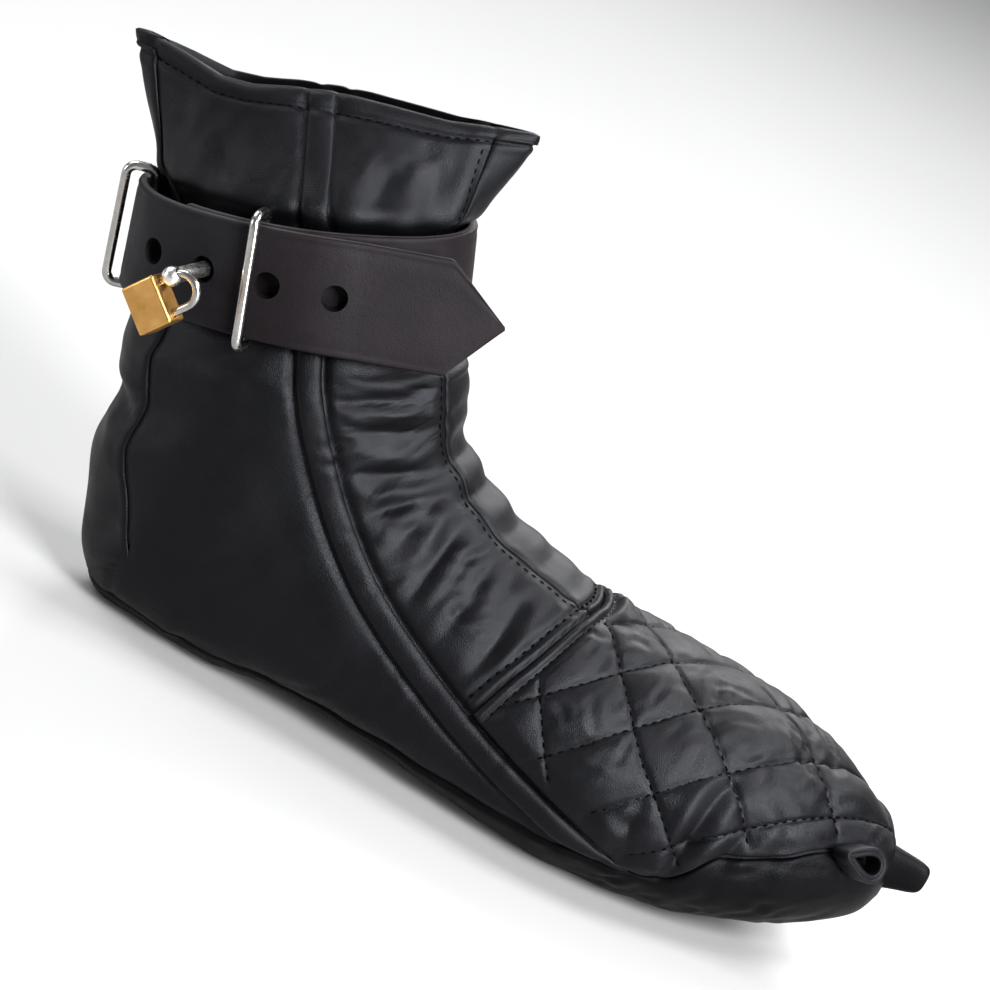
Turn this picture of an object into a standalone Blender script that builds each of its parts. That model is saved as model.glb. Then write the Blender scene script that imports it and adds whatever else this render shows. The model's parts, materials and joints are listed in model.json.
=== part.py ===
# Soft black leather ankle boot with a quilted toe cap, an ankle strap, two keeper rings and a padlock.
# Tables are in millimetres and the finished objects in metres. +X is the toe, +Z is up.
# The origin is the middle of the flat spot under the heel.
import math

import bmesh
import bpy
import numpy as np

MM = 0.001

# Leather thicknesses
UPPER_WALL = 2.0
SOLE_PROUD = 0.8
SOLE_DEEP = 3.0
SEAM_GAP = 0.3
OVERLAY_GAP = 0.3
CAP_GAP = 0.5
OVERLAY_THICK = 1.1
INSOLE_LIFT = 3.65
INSOLE_INSET = 17.0
INSOLE_EDGE = 0.79
INSOLE_THICK = 1.7

# Ankle strap
STRAP_LOW = 394.0
STRAP_HIGH = 432.0
STRAP_THICK = 3.2
STRAP_HOLE = 8.6
STRAP_HOLES = (0.80, 0.53, 0.39)
STRAP_START = 0.755
STRAP_LEAVES = 0.34
STRAP_FREE = 47.5
STRAP_DROOP_FROM = 0.60
STRAP_DROOP = 0.14
STRAP_POINT = 19.0
POST_SHARE = 0.67

# Keeper rings
RING_WIRE = 3.2
REAR_RING_HEIGHT = 42.8
FRONT_RING_HEIGHT = 46.4
REAR_RING_SHARE = 0.975
FRONT_RING_SHARE = 0.568

# Lock post and padlock
POST_RADIUS = 2.5
POST_REACH = 18.0
EYE_RADIUS = 3.3
EYE_HOLE = 3.4
SHACKLE_WIRE = 2.7
SHACKLE_SPACING = 10.5
SHACKLE_REACH = 5.2
LOCK_LONG = 12.5
LOCK_HIGH = 16.0
LOCK_THICK = 9.0
LOCK_START = 4.2
LOCK_TURN = 36.0

# Sections of the boot from the toe round the heel to the collar
# name, crown x, crown z, base x, base z, half width, share of height where widest, crown and base fullness
SECTIONS = (
    ("tip", 230.0, 45.0, 230.5, 33.0, 4.0, 0.50, 2.0, 2.0),
    ("toe end", 226.5, 51.5, 227.0, 26.0, 12.5, 0.48, 2.0, 2.0),
    ("toe front", 216.0, 59.0, 216.5, 18.0, 24.5, 0.46, 2.0, 2.2),
    ("toe box", 198.5, 66.0, 198.5, 10.0, 36.5, 0.44, 2.1, 2.5),
    ("toe root", 178.5, 71.8, 176.5, 3.4, 45.0, 0.42, 2.1, 2.8),
    ("ball front", 156.0, 74.5, 152.0, -0.5, 50.5, 0.40, 2.1, 3.0),
    ("ball", 132.0, 75.0, 124.0, -1.0, 52.0, 0.38, 2.1, 3.0),
    ("waist front", 109.5, 77.0, 94.0, 0.4, 49.0, 0.37, 2.1, 3.0),
    ("instep low", 86.5, 82.5, 62.0, 2.6, 44.5, 0.37, 2.0, 2.8),
    ("instep", 64.0, 90.0, 30.0, 3.2, 41.0, 0.40, 2.0, 2.8),
    ("throat low", 47.5, 100.0, 2.0, -1.0, 39.5, 0.44, 2.0, 2.8),
    ("throat", 39.5, 106.5, -24.0, -0.8, 39.0, 0.47, 2.0, 2.5),
    ("heel corner", 38.0, 112.5, -45.5, 2.0, 38.5, 0.50, 2.0, 2.2),
    ("heel round", 36.5, 116.0, -54.0, 13.0, 38.5, 0.50, 2.0, 2.0),
    ("heel back", 35.5, 119.0, -59.0, 28.0, 38.5, 0.50, 2.0, 2.0),
    ("heel bulge", 34.0, 122.0, -65.0, 46.0, 39.0, 0.50, 2.0, 2.0),
    ("achilles", 32.0, 124.5, -65.0, 65.0, 39.0, 0.50, 2.0, 2.0),
    ("ankle", 30.5, 127.0, -72.0, 82.0, 38.5, 0.50, 2.0, 2.0),
    ("strap foot", 23.5, 130.5, -72.0, 100.0, 34.0, 0.50, 2.1, 2.1),
    ("strap head", 7.5, 166.5, -79.5, 136.0, 31.5, 0.50, 2.1, 2.1),
    ("flare low", 12.0, 175.5, -86.5, 141.5, 33.5, 0.50, 1.9, 1.9),
    ("flare", 15.5, 190.0, -97.0, 154.5, 24.0, 0.50, 1.5, 1.5),
    ("collar", 17.5, 207.0, -112.5, 176.5, 9.0, 0.50, 1.15, 1.15),
)

# Height of the seam between upper and sole: place along the boot, height
SEAM = (
    (0.0, 41.0),
    (9.0, 45.5),
    (20.0, 48.6),
    (32.0, 48.0),
    (46.0, 43.5),
    (61.0, 36.5),
    (75.0, 27.5),
    (90.0, 19.0),
    (106.0, 15.0),
    (137.0, 12.5),
    (180.0, 11.5),
    (212.0, 9.5),
    (241.0, 7.5),
    (267.0, 6.5),
    (300.0, 6.0),
)

# How far the collar edge is cut below the last section: share of the girth, cut
COLLAR_CUT = (
    (0.00, 0.8),
    (0.10, 2.0),
    (0.20, 3.6),
    (0.35, 2.8),
    (0.50, 3.0),
    (0.60, 5.2),
    (0.70, 7.8),
    (0.78, 8.0),
    (0.88, 4.2),
    (1.00, 0.8),
)
FAR_EDGE_CUT = 4.5
CUT_BLEND = 40.0

# Middle of the raised side strip, seen from the side: x, z
SIDE_STRIP = (
    (128.0, 20.6),
    (110.4, 25.4),
    (88.5, 32.3),
    (61.8, 43.2),
    (37.5, 56.6),
    (17.2, 73.6),
    (1.0, 93.0),
    (-11.8, 113.0),
    (-21.5, 133.0),
    (-30.5, 154.5),
    (-39.0, 171.0),
    (-49.5, 190.0),
)
SIDE_STRIP_HALF = 4.2

# Rear edge of the toe cap: share of the girth on each side, place along the boot
CAP_REAR = (
    (0.000, 149.0),
    (0.055, 151.5),
    (0.145, 156.0),
    (0.290, 161.0),
    (0.410, 164.5),
    (0.480, 165.5),
)
CAP_FRONT = 4.0

# Half width of the strip along the instep and shaft front: place, half width
INSTEP_STRIP = (
    (152.5, 13.0),
    (180.0, 14.0),
    (212.0, 14.5),
    (250.0, 13.0),
    (300.0, 15.5),
    (375.0, 15.0),
    (482.0, 13.0),
)

# Half width of the panel up the heel and shaft back: place, half width
HEEL_PANEL = (
    (296.0, 38.0),
    (307.0, 36.5),
    (326.0, 32.0),
    (347.0, 29.5),
    (370.0, 29.5),
    (390.0, 29.0),
    (412.0, 22.0),
    (440.0, 11.0),
    (458.0, 7.5),
    (482.0, 6.5),
)

# Gap between strap and shaft: girth from the front by the outside (1 is the back), inner layer, outer layer
STRAP_GAPS = (
    (0.00, 2.4, 6.2),
    (0.17, 2.4, 6.2),
    (0.30, 2.7, 6.5),
    (0.46, 4.6, 8.3),
    (0.72, 4.8, 8.4),
    (0.84, 4.8, 8.2),
    (0.92, 4.8, 7.4),
    (1.00, 4.8, 6.5),
    (1.08, 4.8, 4.6),
    (1.16, 2.8, 2.8),
    (1.26, 2.4, 2.4),
    (1.40, 2.4, 2.4),
    (2.00, 2.4, 2.4),
)


for old in list(bpy.data.objects):
    bpy.data.objects.remove(old, do_unlink=True)


def curve(knots, values, places):
    """Smooth curve through the rows of a table."""
    knots = np.asarray(knots, float)
    values = np.asarray(values, float)
    flat = values.ndim == 1
    if flat:
        values = values[:, None]
    steps = np.diff(knots)
    rise = np.diff(values, axis=0) / steps[:, None]
    slope = np.empty_like(values)
    slope[0] = rise[0]
    slope[-1] = rise[-1]
    weight = (steps[1:] / (steps[:-1] + steps[1:]))[:, None]
    slope[1:-1] = weight * rise[:-1] + (1.0 - weight) * rise[1:]
    places = np.clip(np.asarray(places, float), knots[0], knots[-1])
    low = np.clip(np.searchsorted(knots, places, side="right") - 1, 0, len(knots) - 2)
    step = steps[low][..., None]
    t = (places - knots[low])[..., None] / step
    start = (2 * t ** 3 - 3 * t ** 2 + 1) * values[low] + (t ** 3 - 2 * t ** 2 + t) * step * slope[low]
    end = (3 * t ** 2 - 2 * t ** 3) * values[low + 1] + (t ** 3 - t ** 2) * step * slope[low + 1]
    result = start + end
    return result[..., 0] if flat else result


def table(rows, places):
    """Straight lines through a two-column table."""
    columns = np.asarray(rows, float)
    return np.interp(places, columns[:, 0], columns[:, 1])


ROWS = np.array([row[1:] for row in SECTIONS], float)
CROWN_STEP = np.hypot(np.diff(ROWS[:, 0]), np.diff(ROWS[:, 1]))
BASE_STEP = np.hypot(np.diff(ROWS[:, 2]), np.diff(ROWS[:, 3]))
KNOTS = np.concatenate([[0.0], np.cumsum(np.maximum(CROWN_STEP, BASE_STEP))])
LAST = float(KNOTS[-1])
TURN = np.cos(np.linspace(0.0, math.pi, 181))


def loop(row):
    """Dense half section from crown to base, its move per millimetre of growth, and its running length."""
    crown_x, crown_z, base_x, base_z, half, widest, crown_full, base_full = row
    along = np.array([crown_x - base_x, crown_z - base_z])
    along /= np.linalg.norm(along)
    crown_move = along * (1.0 + 1.6 * max(0.0, 2.0 - crown_full))
    base_move = -along * (1.0 + 1.6 * max(0.0, 2.0 - base_full))
    lift = widest + np.where(TURN >= 0.0, 1.0 - widest, widest) * TURN
    full = np.where(TURN >= 0.0, crown_full, base_full)
    wide = np.clip(1.0 - TURN ** 2, 0.0, 1.0) ** (1.0 / full)
    x = base_x + lift * (crown_x - base_x)
    z = base_z + lift * (crown_z - base_z)
    points = np.stack([x, half * wide, z], axis=1)
    push_x = base_move[0] + lift * (crown_move[0] - base_move[0])
    push_z = base_move[1] + lift * (crown_move[1] - base_move[1])
    push = np.stack([push_x, wide, push_z], axis=1)
    run = np.concatenate([[0.0], np.cumsum(np.linalg.norm(np.diff(points, axis=0), axis=1))])
    return points, push, run


def collar_cut(place, share, side):
    """Places near the collar are drawn down so that its edge dips in the middle."""
    cut = table(COLLAR_CUT, share)
    if side > 0:
        cut = cut + FAR_EDGE_CUT * math.sin(math.pi * min(max(share, 0.0), 1.0))
    reach = max(0.0, (place - (LAST - CUT_BLEND)) / CUT_BLEND)
    return place - cut * reach


def skin(place, share, side, grow=0.0):
    """Points on the boot's surface, moved out by grow. Side is -1 for the right-hand side."""
    place, share, side, grow = np.broadcast_arrays(place, share, side, grow)
    result = np.empty(place.shape + (3,))
    for at in np.ndindex(place.shape):
        spot = collar_cut(float(place[at]), float(share[at]), float(side[at]))
        points, push, run = loop(curve(KNOTS, ROWS, spot))
        moved = points + push * grow[at]
        for axis in range(3):
            result[at + (axis,)] = np.interp(share[at] * run[-1], run, moved[:, axis])
        result[at + (1,)] *= side[at]
    return result


def girth(place):
    """Half girth of the boot's surface at a place."""
    return loop(curve(KNOTS, ROWS, place))[2][-1]


def seam_share(place):
    """Share of the girth at which the sole's seam runs."""
    points, push, run = loop(curve(KNOTS, ROWS, place))
    height = curve([row[0] for row in SEAM], [row[1] for row in SEAM], place)
    length = np.interp(-height, -points[:, 2], run)
    return length / run[-1]


def spot(x, z):
    """Place and share of the point on the boot's side that is seen at x and z."""
    places = np.linspace(60.0, LAST, 860)
    rows = curve(KNOTS, ROWS, places)
    off = (rows[:, 0] - rows[:, 2]) * (z - rows[:, 3]) - (rows[:, 1] - rows[:, 3]) * (x - rows[:, 2])
    low = np.flatnonzero(off[:-1] * off[1:] <= 0.0)[0]
    place = places[low] + (places[1] - places[0]) * off[low] / (off[low] - off[low + 1])
    points, push, run = loop(curve(KNOTS, ROWS, place))
    return place, np.interp(-z, -points[:, 2], run) / run[-1]


def side_path(places):
    """Share of the girth along the middle of the side strip."""
    rows = np.array(SIDE_STRIP)
    steps = np.linalg.norm(np.diff(rows, axis=0), axis=1)
    run = np.concatenate([[0.0], np.cumsum(steps)])
    seen = curve(run, rows, np.linspace(0.0, run[-1], 120))
    spots = np.array([spot(x, z) for x, z in seen])
    return np.interp(places, spots[:, 0], spots[:, 1])


def across(place, share, side):
    """Unit directions on the surface at one point: along the places, down the girth, and outward."""
    here = skin(place, share, side)
    ahead = skin(min(place + 0.5, LAST), share, side) - skin(max(place - 0.5, 0.0), share, side)
    down = skin(place, min(share + 0.004, 1.0), side) - skin(place, max(share - 0.004, 0.0), side)
    out = np.cross(ahead, down)
    out /= np.linalg.norm(out)
    centre = curve(KNOTS, ROWS, place)
    middle = np.array([(centre[0] + centre[2]) / 2, 0.0, (centre[1] + centre[3]) / 2])
    if np.dot(out, here - middle) < 0:
        out = -out
    return ahead, down, out


def material(name, colour, rough, metal=0.0):
    made = bpy.data.materials.new(name)
    made.use_nodes = True
    shader = made.node_tree.nodes["Principled BSDF"]
    shader.inputs["Base Color"].default_value = (*colour, 1.0)
    shader.inputs["Roughness"].default_value = rough
    shader.inputs["Metallic"].default_value = metal
    made.diffuse_color = (*colour, 1.0)
    return made


BLACK_LEATHER = material("black_leather", (0.016, 0.016, 0.018), 0.42)
STRAP_LEATHER = material("strap_leather", (0.030, 0.026, 0.028), 0.50)
SOLE_LEATHER = material("sole_leather", (0.013, 0.013, 0.014), 0.48)
INSOLE_FABRIC = material("insole_leather", (0.020, 0.019, 0.019), 0.75)
STEEL = material("bright_steel", (0.62, 0.60, 0.57), 0.22, 1.0)
BRASS = material("brass", (0.60, 0.36, 0.13), 0.32, 1.0)


def solid(name, points, faces, surface):
    """A closed mesh object from points in millimetres."""
    mesh = bpy.data.meshes.new(name)
    mesh.from_pydata([tuple(p) for p in np.asarray(points) * MM], [], faces)
    body = bmesh.new()
    body.from_mesh(mesh)
    bmesh.ops.recalc_face_normals(body, faces=body.faces)
    body.to_mesh(mesh)
    body.free()
    mesh.update()
    mesh.materials.append(surface)
    made = bpy.data.objects.new(name, mesh)
    bpy.context.scene.collection.objects.link(made)
    return made


def sheet(name, outer, inner, surface, nose=False):
    """A solid between two grids, closed all round; nose closes the first row with a flat end."""
    rows, columns = outer.shape[:2]
    count = rows * columns
    points = np.concatenate([outer.reshape(-1, 3), inner.reshape(-1, 3)])

    def top(i, j):
        return i * columns + j

    def low(i, j):
        return count + i * columns + j

    faces = []
    for i in range(rows - 1):
        for j in range(columns - 1):
            faces.append((top(i, j), top(i + 1, j), top(i + 1, j + 1), top(i, j + 1)))
            faces.append((low(i, j), low(i, j + 1), low(i + 1, j + 1), low(i + 1, j)))
        for j in (0, columns - 1):
            faces.append((top(i, j), top(i + 1, j), low(i + 1, j), low(i, j)))
    for j in range(columns - 1):
        faces.append((top(rows - 1, j), top(rows - 1, j + 1), low(rows - 1, j + 1), low(rows - 1, j)))
    if nose:
        end = columns - 1
        faces.append(tuple(top(0, j) for j in range(columns)))
        faces.append(tuple(low(0, j) for j in range(columns)))
        faces.append((top(0, 0), top(0, end), low(0, end), low(0, 0)))
    else:
        for j in range(columns - 1):
            faces.append((top(0, j), top(0, j + 1), low(0, j + 1), low(0, j)))
    return solid(name, points, faces, surface)


def tube(name, path, radius, sides, surface, closed):
    """A round wire along a path, with flat ends if it is open."""
    path = np.asarray(path, float)
    count = len(path)
    points = []
    normal = None
    for i in range(count):
        before = path[i - 1] if closed or i > 0 else path[i]
        after = path[(i + 1) % count] if closed or i < count - 1 else path[i]
        run = after - before
        run /= np.linalg.norm(run)
        if normal is None:
            normal = np.cross(run, (0.31, 0.52, 0.79))
        normal = normal - run * np.dot(normal, run)
        normal /= np.linalg.norm(normal)
        side = np.cross(run, normal)
        for k in range(sides):
            angle = 2 * math.pi * k / sides
            points.append(path[i] + radius * (math.cos(angle) * normal + math.sin(angle) * side))
    faces = []
    turns = count if closed else count - 1
    shift = 0
    if closed:
        first = np.array(points[:sides])
        last = np.array(points[-sides:])
        spans = [np.linalg.norm(np.roll(first, -k, axis=0) - last, axis=1).sum() for k in range(sides)]
        shift = int(np.argmin(spans))
    for i in range(turns):
        turn = shift if closed and i == count - 1 else 0
        nxt = (i + 1) % count
        for k in range(sides):
            k2 = (k + 1) % sides
            faces.append((i * sides + k, i * sides + k2, nxt * sides + (k2 + turn) % sides,
                          nxt * sides + (k + turn) % sides))
    if not closed:
        faces.append(tuple(range(sides)))
        faces.append(tuple((count - 1) * sides + k for k in range(sides)))
    return solid(name, points, faces, surface)


def lathe(name, profile, origin, axis, sides, surface):
    """A turned solid: profile rows are distance along the axis and radius."""
    axis = np.asarray(axis, float)
    first = np.cross(axis, (0.21, 0.43, 0.88))
    first /= np.linalg.norm(first)
    second = np.cross(axis, first)
    points = []
    for reach, radius in profile:
        for k in range(sides):
            angle = 2 * math.pi * k / sides
            points.append(origin + axis * reach + radius * (math.cos(angle) * first + math.sin(angle) * second))
    faces = []
    for i in range(len(profile) - 1):
        for k in range(sides):
            k2 = (k + 1) % sides
            faces.append((i * sides + k, i * sides + k2, (i + 1) * sides + k2, (i + 1) * sides + k))
    faces.append(tuple(range(sides)))
    faces.append(tuple((len(profile) - 1) * sides + k for k in range(sides)))
    return solid(name, points, faces, surface)


def drill(target, name, start, end, diameter, sides):
    """Cut a round hole from start to end, in millimetres."""
    start = np.asarray(start, float)
    end = np.asarray(end, float)
    run = end - start
    length = np.linalg.norm(run)
    cutter = lathe(name, ((0.0, diameter / 2), (length, diameter / 2)), start, run / length, sides, STEEL)
    cutter.hide_render = True
    cutter.display_type = "WIRE"
    change = target.modifiers.new(name, "BOOLEAN")
    change.operation = "DIFFERENCE"
    change.solver = "EXACT"
    change.object = cutter


# Stations along the boot
FOOT = (0.0, 4.0, 9.0, 15.0, 23.0, 33.0, 45.0, 58.0, 72.0, 87.0, 103.0, 119.0, 135.0, 151.0, 167.0, 183.0,
        199.0, 215.0, 231.0, 247.0, 262.0, 275.0, 285.0)
SHAFT = (303.0, 316.0, 330.0, 345.0, 360.0, 375.0, 390.0, 405.0, 418.0, 431.0, 441.0, 451.0, 461.0, 472.0, LAST)
HEEL_END = 292.6
UPPER_CELLS = 10
LOWER_CELLS = 3
SOLE_CELLS = 6


def nose_shift(place):
    """The inside of the toe starts one wall further in than the outside."""
    return place + UPPER_WALL * np.exp(-np.asarray(place, float) / 9.0)


def upper_shares(place):
    """Shares of the girth at a station, first down to the sole's seam and then to the base."""
    if place <= HEEL_END:
        split = seam_share(place)
    else:
        ease = min(1.0, (place - HEEL_END) / 60.0)
        split = seam_share(HEEL_END) * (1 - ease) + ease * UPPER_CELLS / (UPPER_CELLS + LOWER_CELLS)
    return np.concatenate([np.linspace(0, split, UPPER_CELLS + 1), np.linspace(split, 1, LOWER_CELLS + 1)[1:]])


def build_upper():
    stations = FOOT + (HEEL_END,) + SHAFT
    open_count = len(FOOT)
    half = UPPER_CELLS + LOWER_CELLS
    points = []
    number = {}
    for i, place in enumerate(stations):
        shares = upper_shares(place)
        top = UPPER_CELLS if i < open_count else half
        for layer, grow in ((0, 0.0), (1, -UPPER_WALL)):
            at = place if layer == 0 else float(nose_shift(place))
            for column in range(-top, top + 1):
                if column == half:
                    number[i, layer, column] = number[i, layer, -half]
                    continue
                side = -1.0 if column < 0 else 1.0
                number[i, layer, column] = len(points)
                points.append(skin(at, shares[abs(column)], side, grow))
    faces = []
    for i in range(len(stations) - 1):
        top = UPPER_CELLS if i < open_count else half
        for column in range(-top, top):
            ring = [(i, column), (i + 1, column), (i + 1, column + 1), (i, column + 1)]
            faces.append(tuple(number[a, 0, c] for a, c in ring))
            faces.append(tuple(number[a, 1, c] for a, c in reversed(ring)))
        if i < open_count:
            for column in (-top, top):
                faces.append((number[i, 0, column], number[i + 1, 0, column],
                              number[i + 1, 1, column], number[i, 1, column]))
    heel = open_count
    for column in list(range(-half, -UPPER_CELLS)) + list(range(UPPER_CELLS, half)):
        faces.append((number[heel, 0, column], number[heel, 0, column + 1],
                      number[heel, 1, column + 1], number[heel, 1, column]))
    end = len(stations) - 1
    for column in range(-half, half):
        faces.append((number[end, 0, column], number[end, 0, column + 1],
                      number[end, 1, column + 1], number[end, 1, column]))
    for layer in (0, 1):
        faces.append(tuple(number[0, layer, c] for c in range(-UPPER_CELLS, UPPER_CELLS + 1)))
    faces.append((number[0, 0, -UPPER_CELLS], number[0, 0, UPPER_CELLS],
                  number[0, 1, UPPER_CELLS], number[0, 1, -UPPER_CELLS]))
    return solid("upper", points, faces, BLACK_LEATHER)


def under_grid(stations, edge_gap, cells, grow, shift, least=0.0):
    """Points under the foot from one edge of the sole to the other at each station."""
    grid = np.empty((len(stations), 2 * cells + 1, 3))
    for i, place in enumerate(stations):
        split = seam_share(HEEL_END if place > FOOT[-1] else place) + edge_gap / girth(place)
        shares = np.linspace(max(split, least), 1.0, cells + 1)
        at = float(nose_shift(place)) if shift else place
        for k in range(cells + 1):
            grid[i, k] = skin(at, shares[k], -1.0, grow)
            grid[i, 2 * cells - k] = skin(at, shares[k], 1.0, grow)
    return grid


def build_sole():
    stations = FOOT + (HEEL_END - SEAM_GAP,)
    outer = under_grid(stations, SEAM_GAP, SOLE_CELLS, SOLE_PROUD, False)
    outer[..., 2] = np.maximum(outer[..., 2], 0.0)
    inner = under_grid(stations, SEAM_GAP, SOLE_CELLS, -SOLE_DEEP, True)
    return sheet("sole", outer, inner, SOLE_LEATHER, nose=True)


def build_insole():
    stations = FOOT[6:-1]
    lower = under_grid(stations, INSOLE_INSET, 3, -INSOLE_LIFT, False, INSOLE_EDGE)
    upper = under_grid(stations, INSOLE_INSET, 3, -INSOLE_LIFT - INSOLE_THICK, False, INSOLE_EDGE)
    return sheet("insole", upper, lower, INSOLE_FABRIC)


def strip_beside(path, side, offsets, grows):
    """Grid along a path on the surface, with columns at offsets in millimetres across it."""
    path = np.asarray(path, float)
    grid = np.empty((len(path), len(offsets), 3))
    for i, (place, share) in enumerate(path):
        ahead, down, out = across(place, share, side)
        before = skin(*path[max(i - 1, 0)], side)
        after = skin(*path[min(i + 1, len(path) - 1)], side)
        run = after - before
        run -= out * np.dot(run, out)
        run /= np.linalg.norm(run)
        cross = np.cross(out, run)
        basis = np.stack([ahead, down / 0.008], axis=1)
        step = np.linalg.lstsq(basis, cross, rcond=None)[0]
        for j, offset in enumerate(offsets):
            grid[i, j] = skin(place + step[0] * offset, share + step[1] * offset, side, grows[j])
    return grid


def side_strip(name, side):
    places = np.array((124.0,) + FOOT[12:] + (HEEL_END,) + SHAFT[:-1])
    path = np.stack([places, side_path(places)], axis=1)
    offsets = np.array([-1.0, -0.5, 0.5, 1.0]) * SIDE_STRIP_HALF
    low = np.full(4, OVERLAY_GAP)
    high = OVERLAY_GAP + OVERLAY_THICK * np.array([0.75, 1.3, 1.3, 0.75])
    return sheet(name, strip_beside(path, side, offsets, high), strip_beside(path, side, offsets, low),
                 BLACK_LEATHER)


def strip_share(place):
    """Share of the girth at the upper edge of the side strip, with a little room."""
    return float(side_path(place)) - (SIDE_STRIP_HALF + 1.6) / girth(place)


def cap_limit(place):
    """Lowest share of the girth that the toe cap covers: the sole's seam, then the side strip."""
    seam = seam_share(place) - 1.2 / girth(place)
    ease = min(max((place - 98.0) / 23.0, 0.0), 1.0)
    ease = ease * ease * (3.0 - 2.0 * ease)
    return seam * (1.0 - ease) + min(seam, strip_share(max(place, 121.0))) * ease


def build_toe_cap():
    cells = UPPER_CELLS
    front = (CAP_FRONT, 9.0, 15.0, 19.0, 23.0, 28.0, 33.0) + FOOT[6:10]
    front += (95.0, 103.0, 107.0, 111.0, 115.0, 119.0, 127.0, 135.0, 147.0)
    outer = np.empty((len(front) + 2, 2 * cells + 1, 3))
    inner = np.empty_like(outer)
    for k in range(-cells, cells + 1):
        side = -1.0 if k < 0 else 1.0
        part = abs(k) / cells
        rear = float(table(CAP_REAR, part * 0.48))
        for i, place in enumerate(front + ((front[-1] + rear) / 2, rear)):
            share = part * cap_limit(place)
            outer[i, k + cells] = skin(place, share, side, CAP_GAP + OVERLAY_THICK)
            inner[i, k + cells] = skin(place, share, side, CAP_GAP)
    return sheet("toe_cap", outer, inner, BLACK_LEATHER)


def centre_strip(name, rows, places, base, cells):
    """A strip centred on the crown line (base 0) or the back line (base 1)."""
    widths = np.asarray(rows, float)
    outer = np.empty((len(places), 2 * cells + 1, 3))
    inner = np.empty_like(outer)
    for i, place in enumerate(places):
        reach = float(curve(widths[:, 0], widths[:, 1], place)) / girth(place)
        for k in range(-cells, cells + 1):
            side = -1.0 if k < 0 else 1.0
            share = abs(k) / cells * reach
            if base:
                share = 1.0 - share
            edge = 0.75 if abs(k) == cells else 1.0
            outer[i, k + cells] = skin(place, share, side, OVERLAY_GAP + OVERLAY_THICK * edge)
            inner[i, k + cells] = skin(place, share, side, OVERLAY_GAP)
    return sheet(name, outer, inner, BLACK_LEATHER)


def strap_shift(turn, layer):
    """The outer layer's free end slopes down: how far it has moved along the shaft."""
    if layer == 1:
        return 0.0
    around = girth((STRAP_LOW + STRAP_HIGH) / 2)
    whole = (STRAP_DROOP_FROM - STRAP_LEAVES) * around
    past = max(0.0, STRAP_DROOP_FROM - turn % 2.0) * around
    return -STRAP_DROOP * past * past / (2.0 * whole)


def strap_point(turn, level, lift, layer=1):
    """A point round the ankle: turn 0 is the front, 1 the back by the outside, 2 the front again.
    Level is 0 on the lower edge and 1 on the upper edge, and the strap is straight between them."""
    turn = turn % 2.0
    side = -1.0 if turn <= 1.0 else 1.0
    share = turn if turn <= 1.0 else 2.0 - turn
    shift = strap_shift(turn, layer)
    low = skin(STRAP_LOW + shift, share, side, lift)
    return low + (skin(STRAP_HIGH + shift, share, side, lift) - low) * level


def strap_gap(turn, layer):
    rows = np.array(STRAP_GAPS)
    return float(curve(rows[:, 0], rows[:, layer], turn % 2.0))


def strap_frame(turn, layer):
    """Point on the strap's inner face and its directions: forward along it, up across it, outward."""
    lift = strap_gap(turn, layer)
    here = strap_point(turn, 0.5, lift, layer)
    ahead = strap_point(turn - 0.01, 0.5, lift, layer) - strap_point(turn + 0.01, 0.5, lift, layer)
    ahead /= np.linalg.norm(ahead)
    up = strap_point(turn, 1.0, lift, layer) - strap_point(turn, 0.0, lift, layer)
    up -= ahead * np.dot(up, ahead)
    up /= np.linalg.norm(up)
    return here, ahead, up, np.cross(ahead, up)


def build_strap():
    turns = list(np.linspace(STRAP_START, 0.0, 18)) + list(np.linspace(-0.05, -0.8, 16))
    turns += list(np.linspace(-0.85, -2.0 + STRAP_LEAVES, 18))
    inner = []
    outer = []
    for turn in turns:
        layer = 1 if turn > -0.8 else 2
        lift = strap_gap(turn, layer)
        inner.append([strap_point(turn, level, lift, layer) for level in (0.0, 0.5, 1.0)])
        outer.append([strap_point(turn, level, lift + STRAP_THICK, layer) for level in (0.0, 0.5, 1.0)])
    here, ahead, up, out = strap_frame(STRAP_LEAVES, 2)
    edge_in = np.array(inner[-1])
    edge_out = np.array(outer[-1])
    half = np.linalg.norm(edge_in[2] - edge_in[0]) / 2
    for reach in (10.0, 20.0, STRAP_FREE - STRAP_POINT, STRAP_FREE):
        narrow = min(1.0, (STRAP_FREE - reach) / STRAP_POINT + 0.03)
        for edge, store in ((edge_in, inner), (edge_out, outer)):
            moved = edge + ahead * reach
            middle = (moved[0] + moved[2]) / 2
            moved = middle + (moved - middle) * narrow
            store.append(list(moved))
    made = sheet("ankle_strap", np.array(outer), np.array(inner), STRAP_LEATHER)
    for k, share in enumerate(STRAP_HOLES):
        here, ahead, up, out = strap_frame(share, 2)
        drill(made, "strap_hole_cutter_%d" % (k + 1), here - out * 1.2, here + out * 6.0, STRAP_HOLE, 16)
    here, ahead, up, out = strap_frame(POST_SHARE, 2)
    drill(made, "post_hole_cutter", here - out * 1.2, here + out * 6.0, STRAP_HOLE, 16)
    drill(made, "stud_hole_cutter", here - out * 5.0, here - out * 0.9, 2 * POST_RADIUS + 0.6, 16)
    return made


def ring_path(share, height, low, high):
    """Rounded rectangle round the strap: low and high are the bar centres out from the strap's inner face."""
    here, ahead, up, out = strap_frame(share, 2)
    tall = height / 2 - RING_WIRE / 2
    corner = min(3.4, (high - low) / 2 - 0.01)
    path = []
    corners = ((1, 1, 0), (1, -1, 90), (-1, -1, 180), (-1, 1, 270))
    middle = (low + high) / 2
    deep = (high - low) / 2
    for across_sign, up_sign, start in corners:
        for step in range(5):
            angle = math.radians(start + step * 22.5)
            across_part = math.sin(angle) if across_sign * up_sign > 0 else math.sin(angle)
            up_part = math.cos(angle)
            a = across_sign * (deep - corner) + corner * across_part
            b = up_sign * (tall - corner) + corner * up_part
            path.append(here + out * (middle + a) + up * b)
    return path


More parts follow.
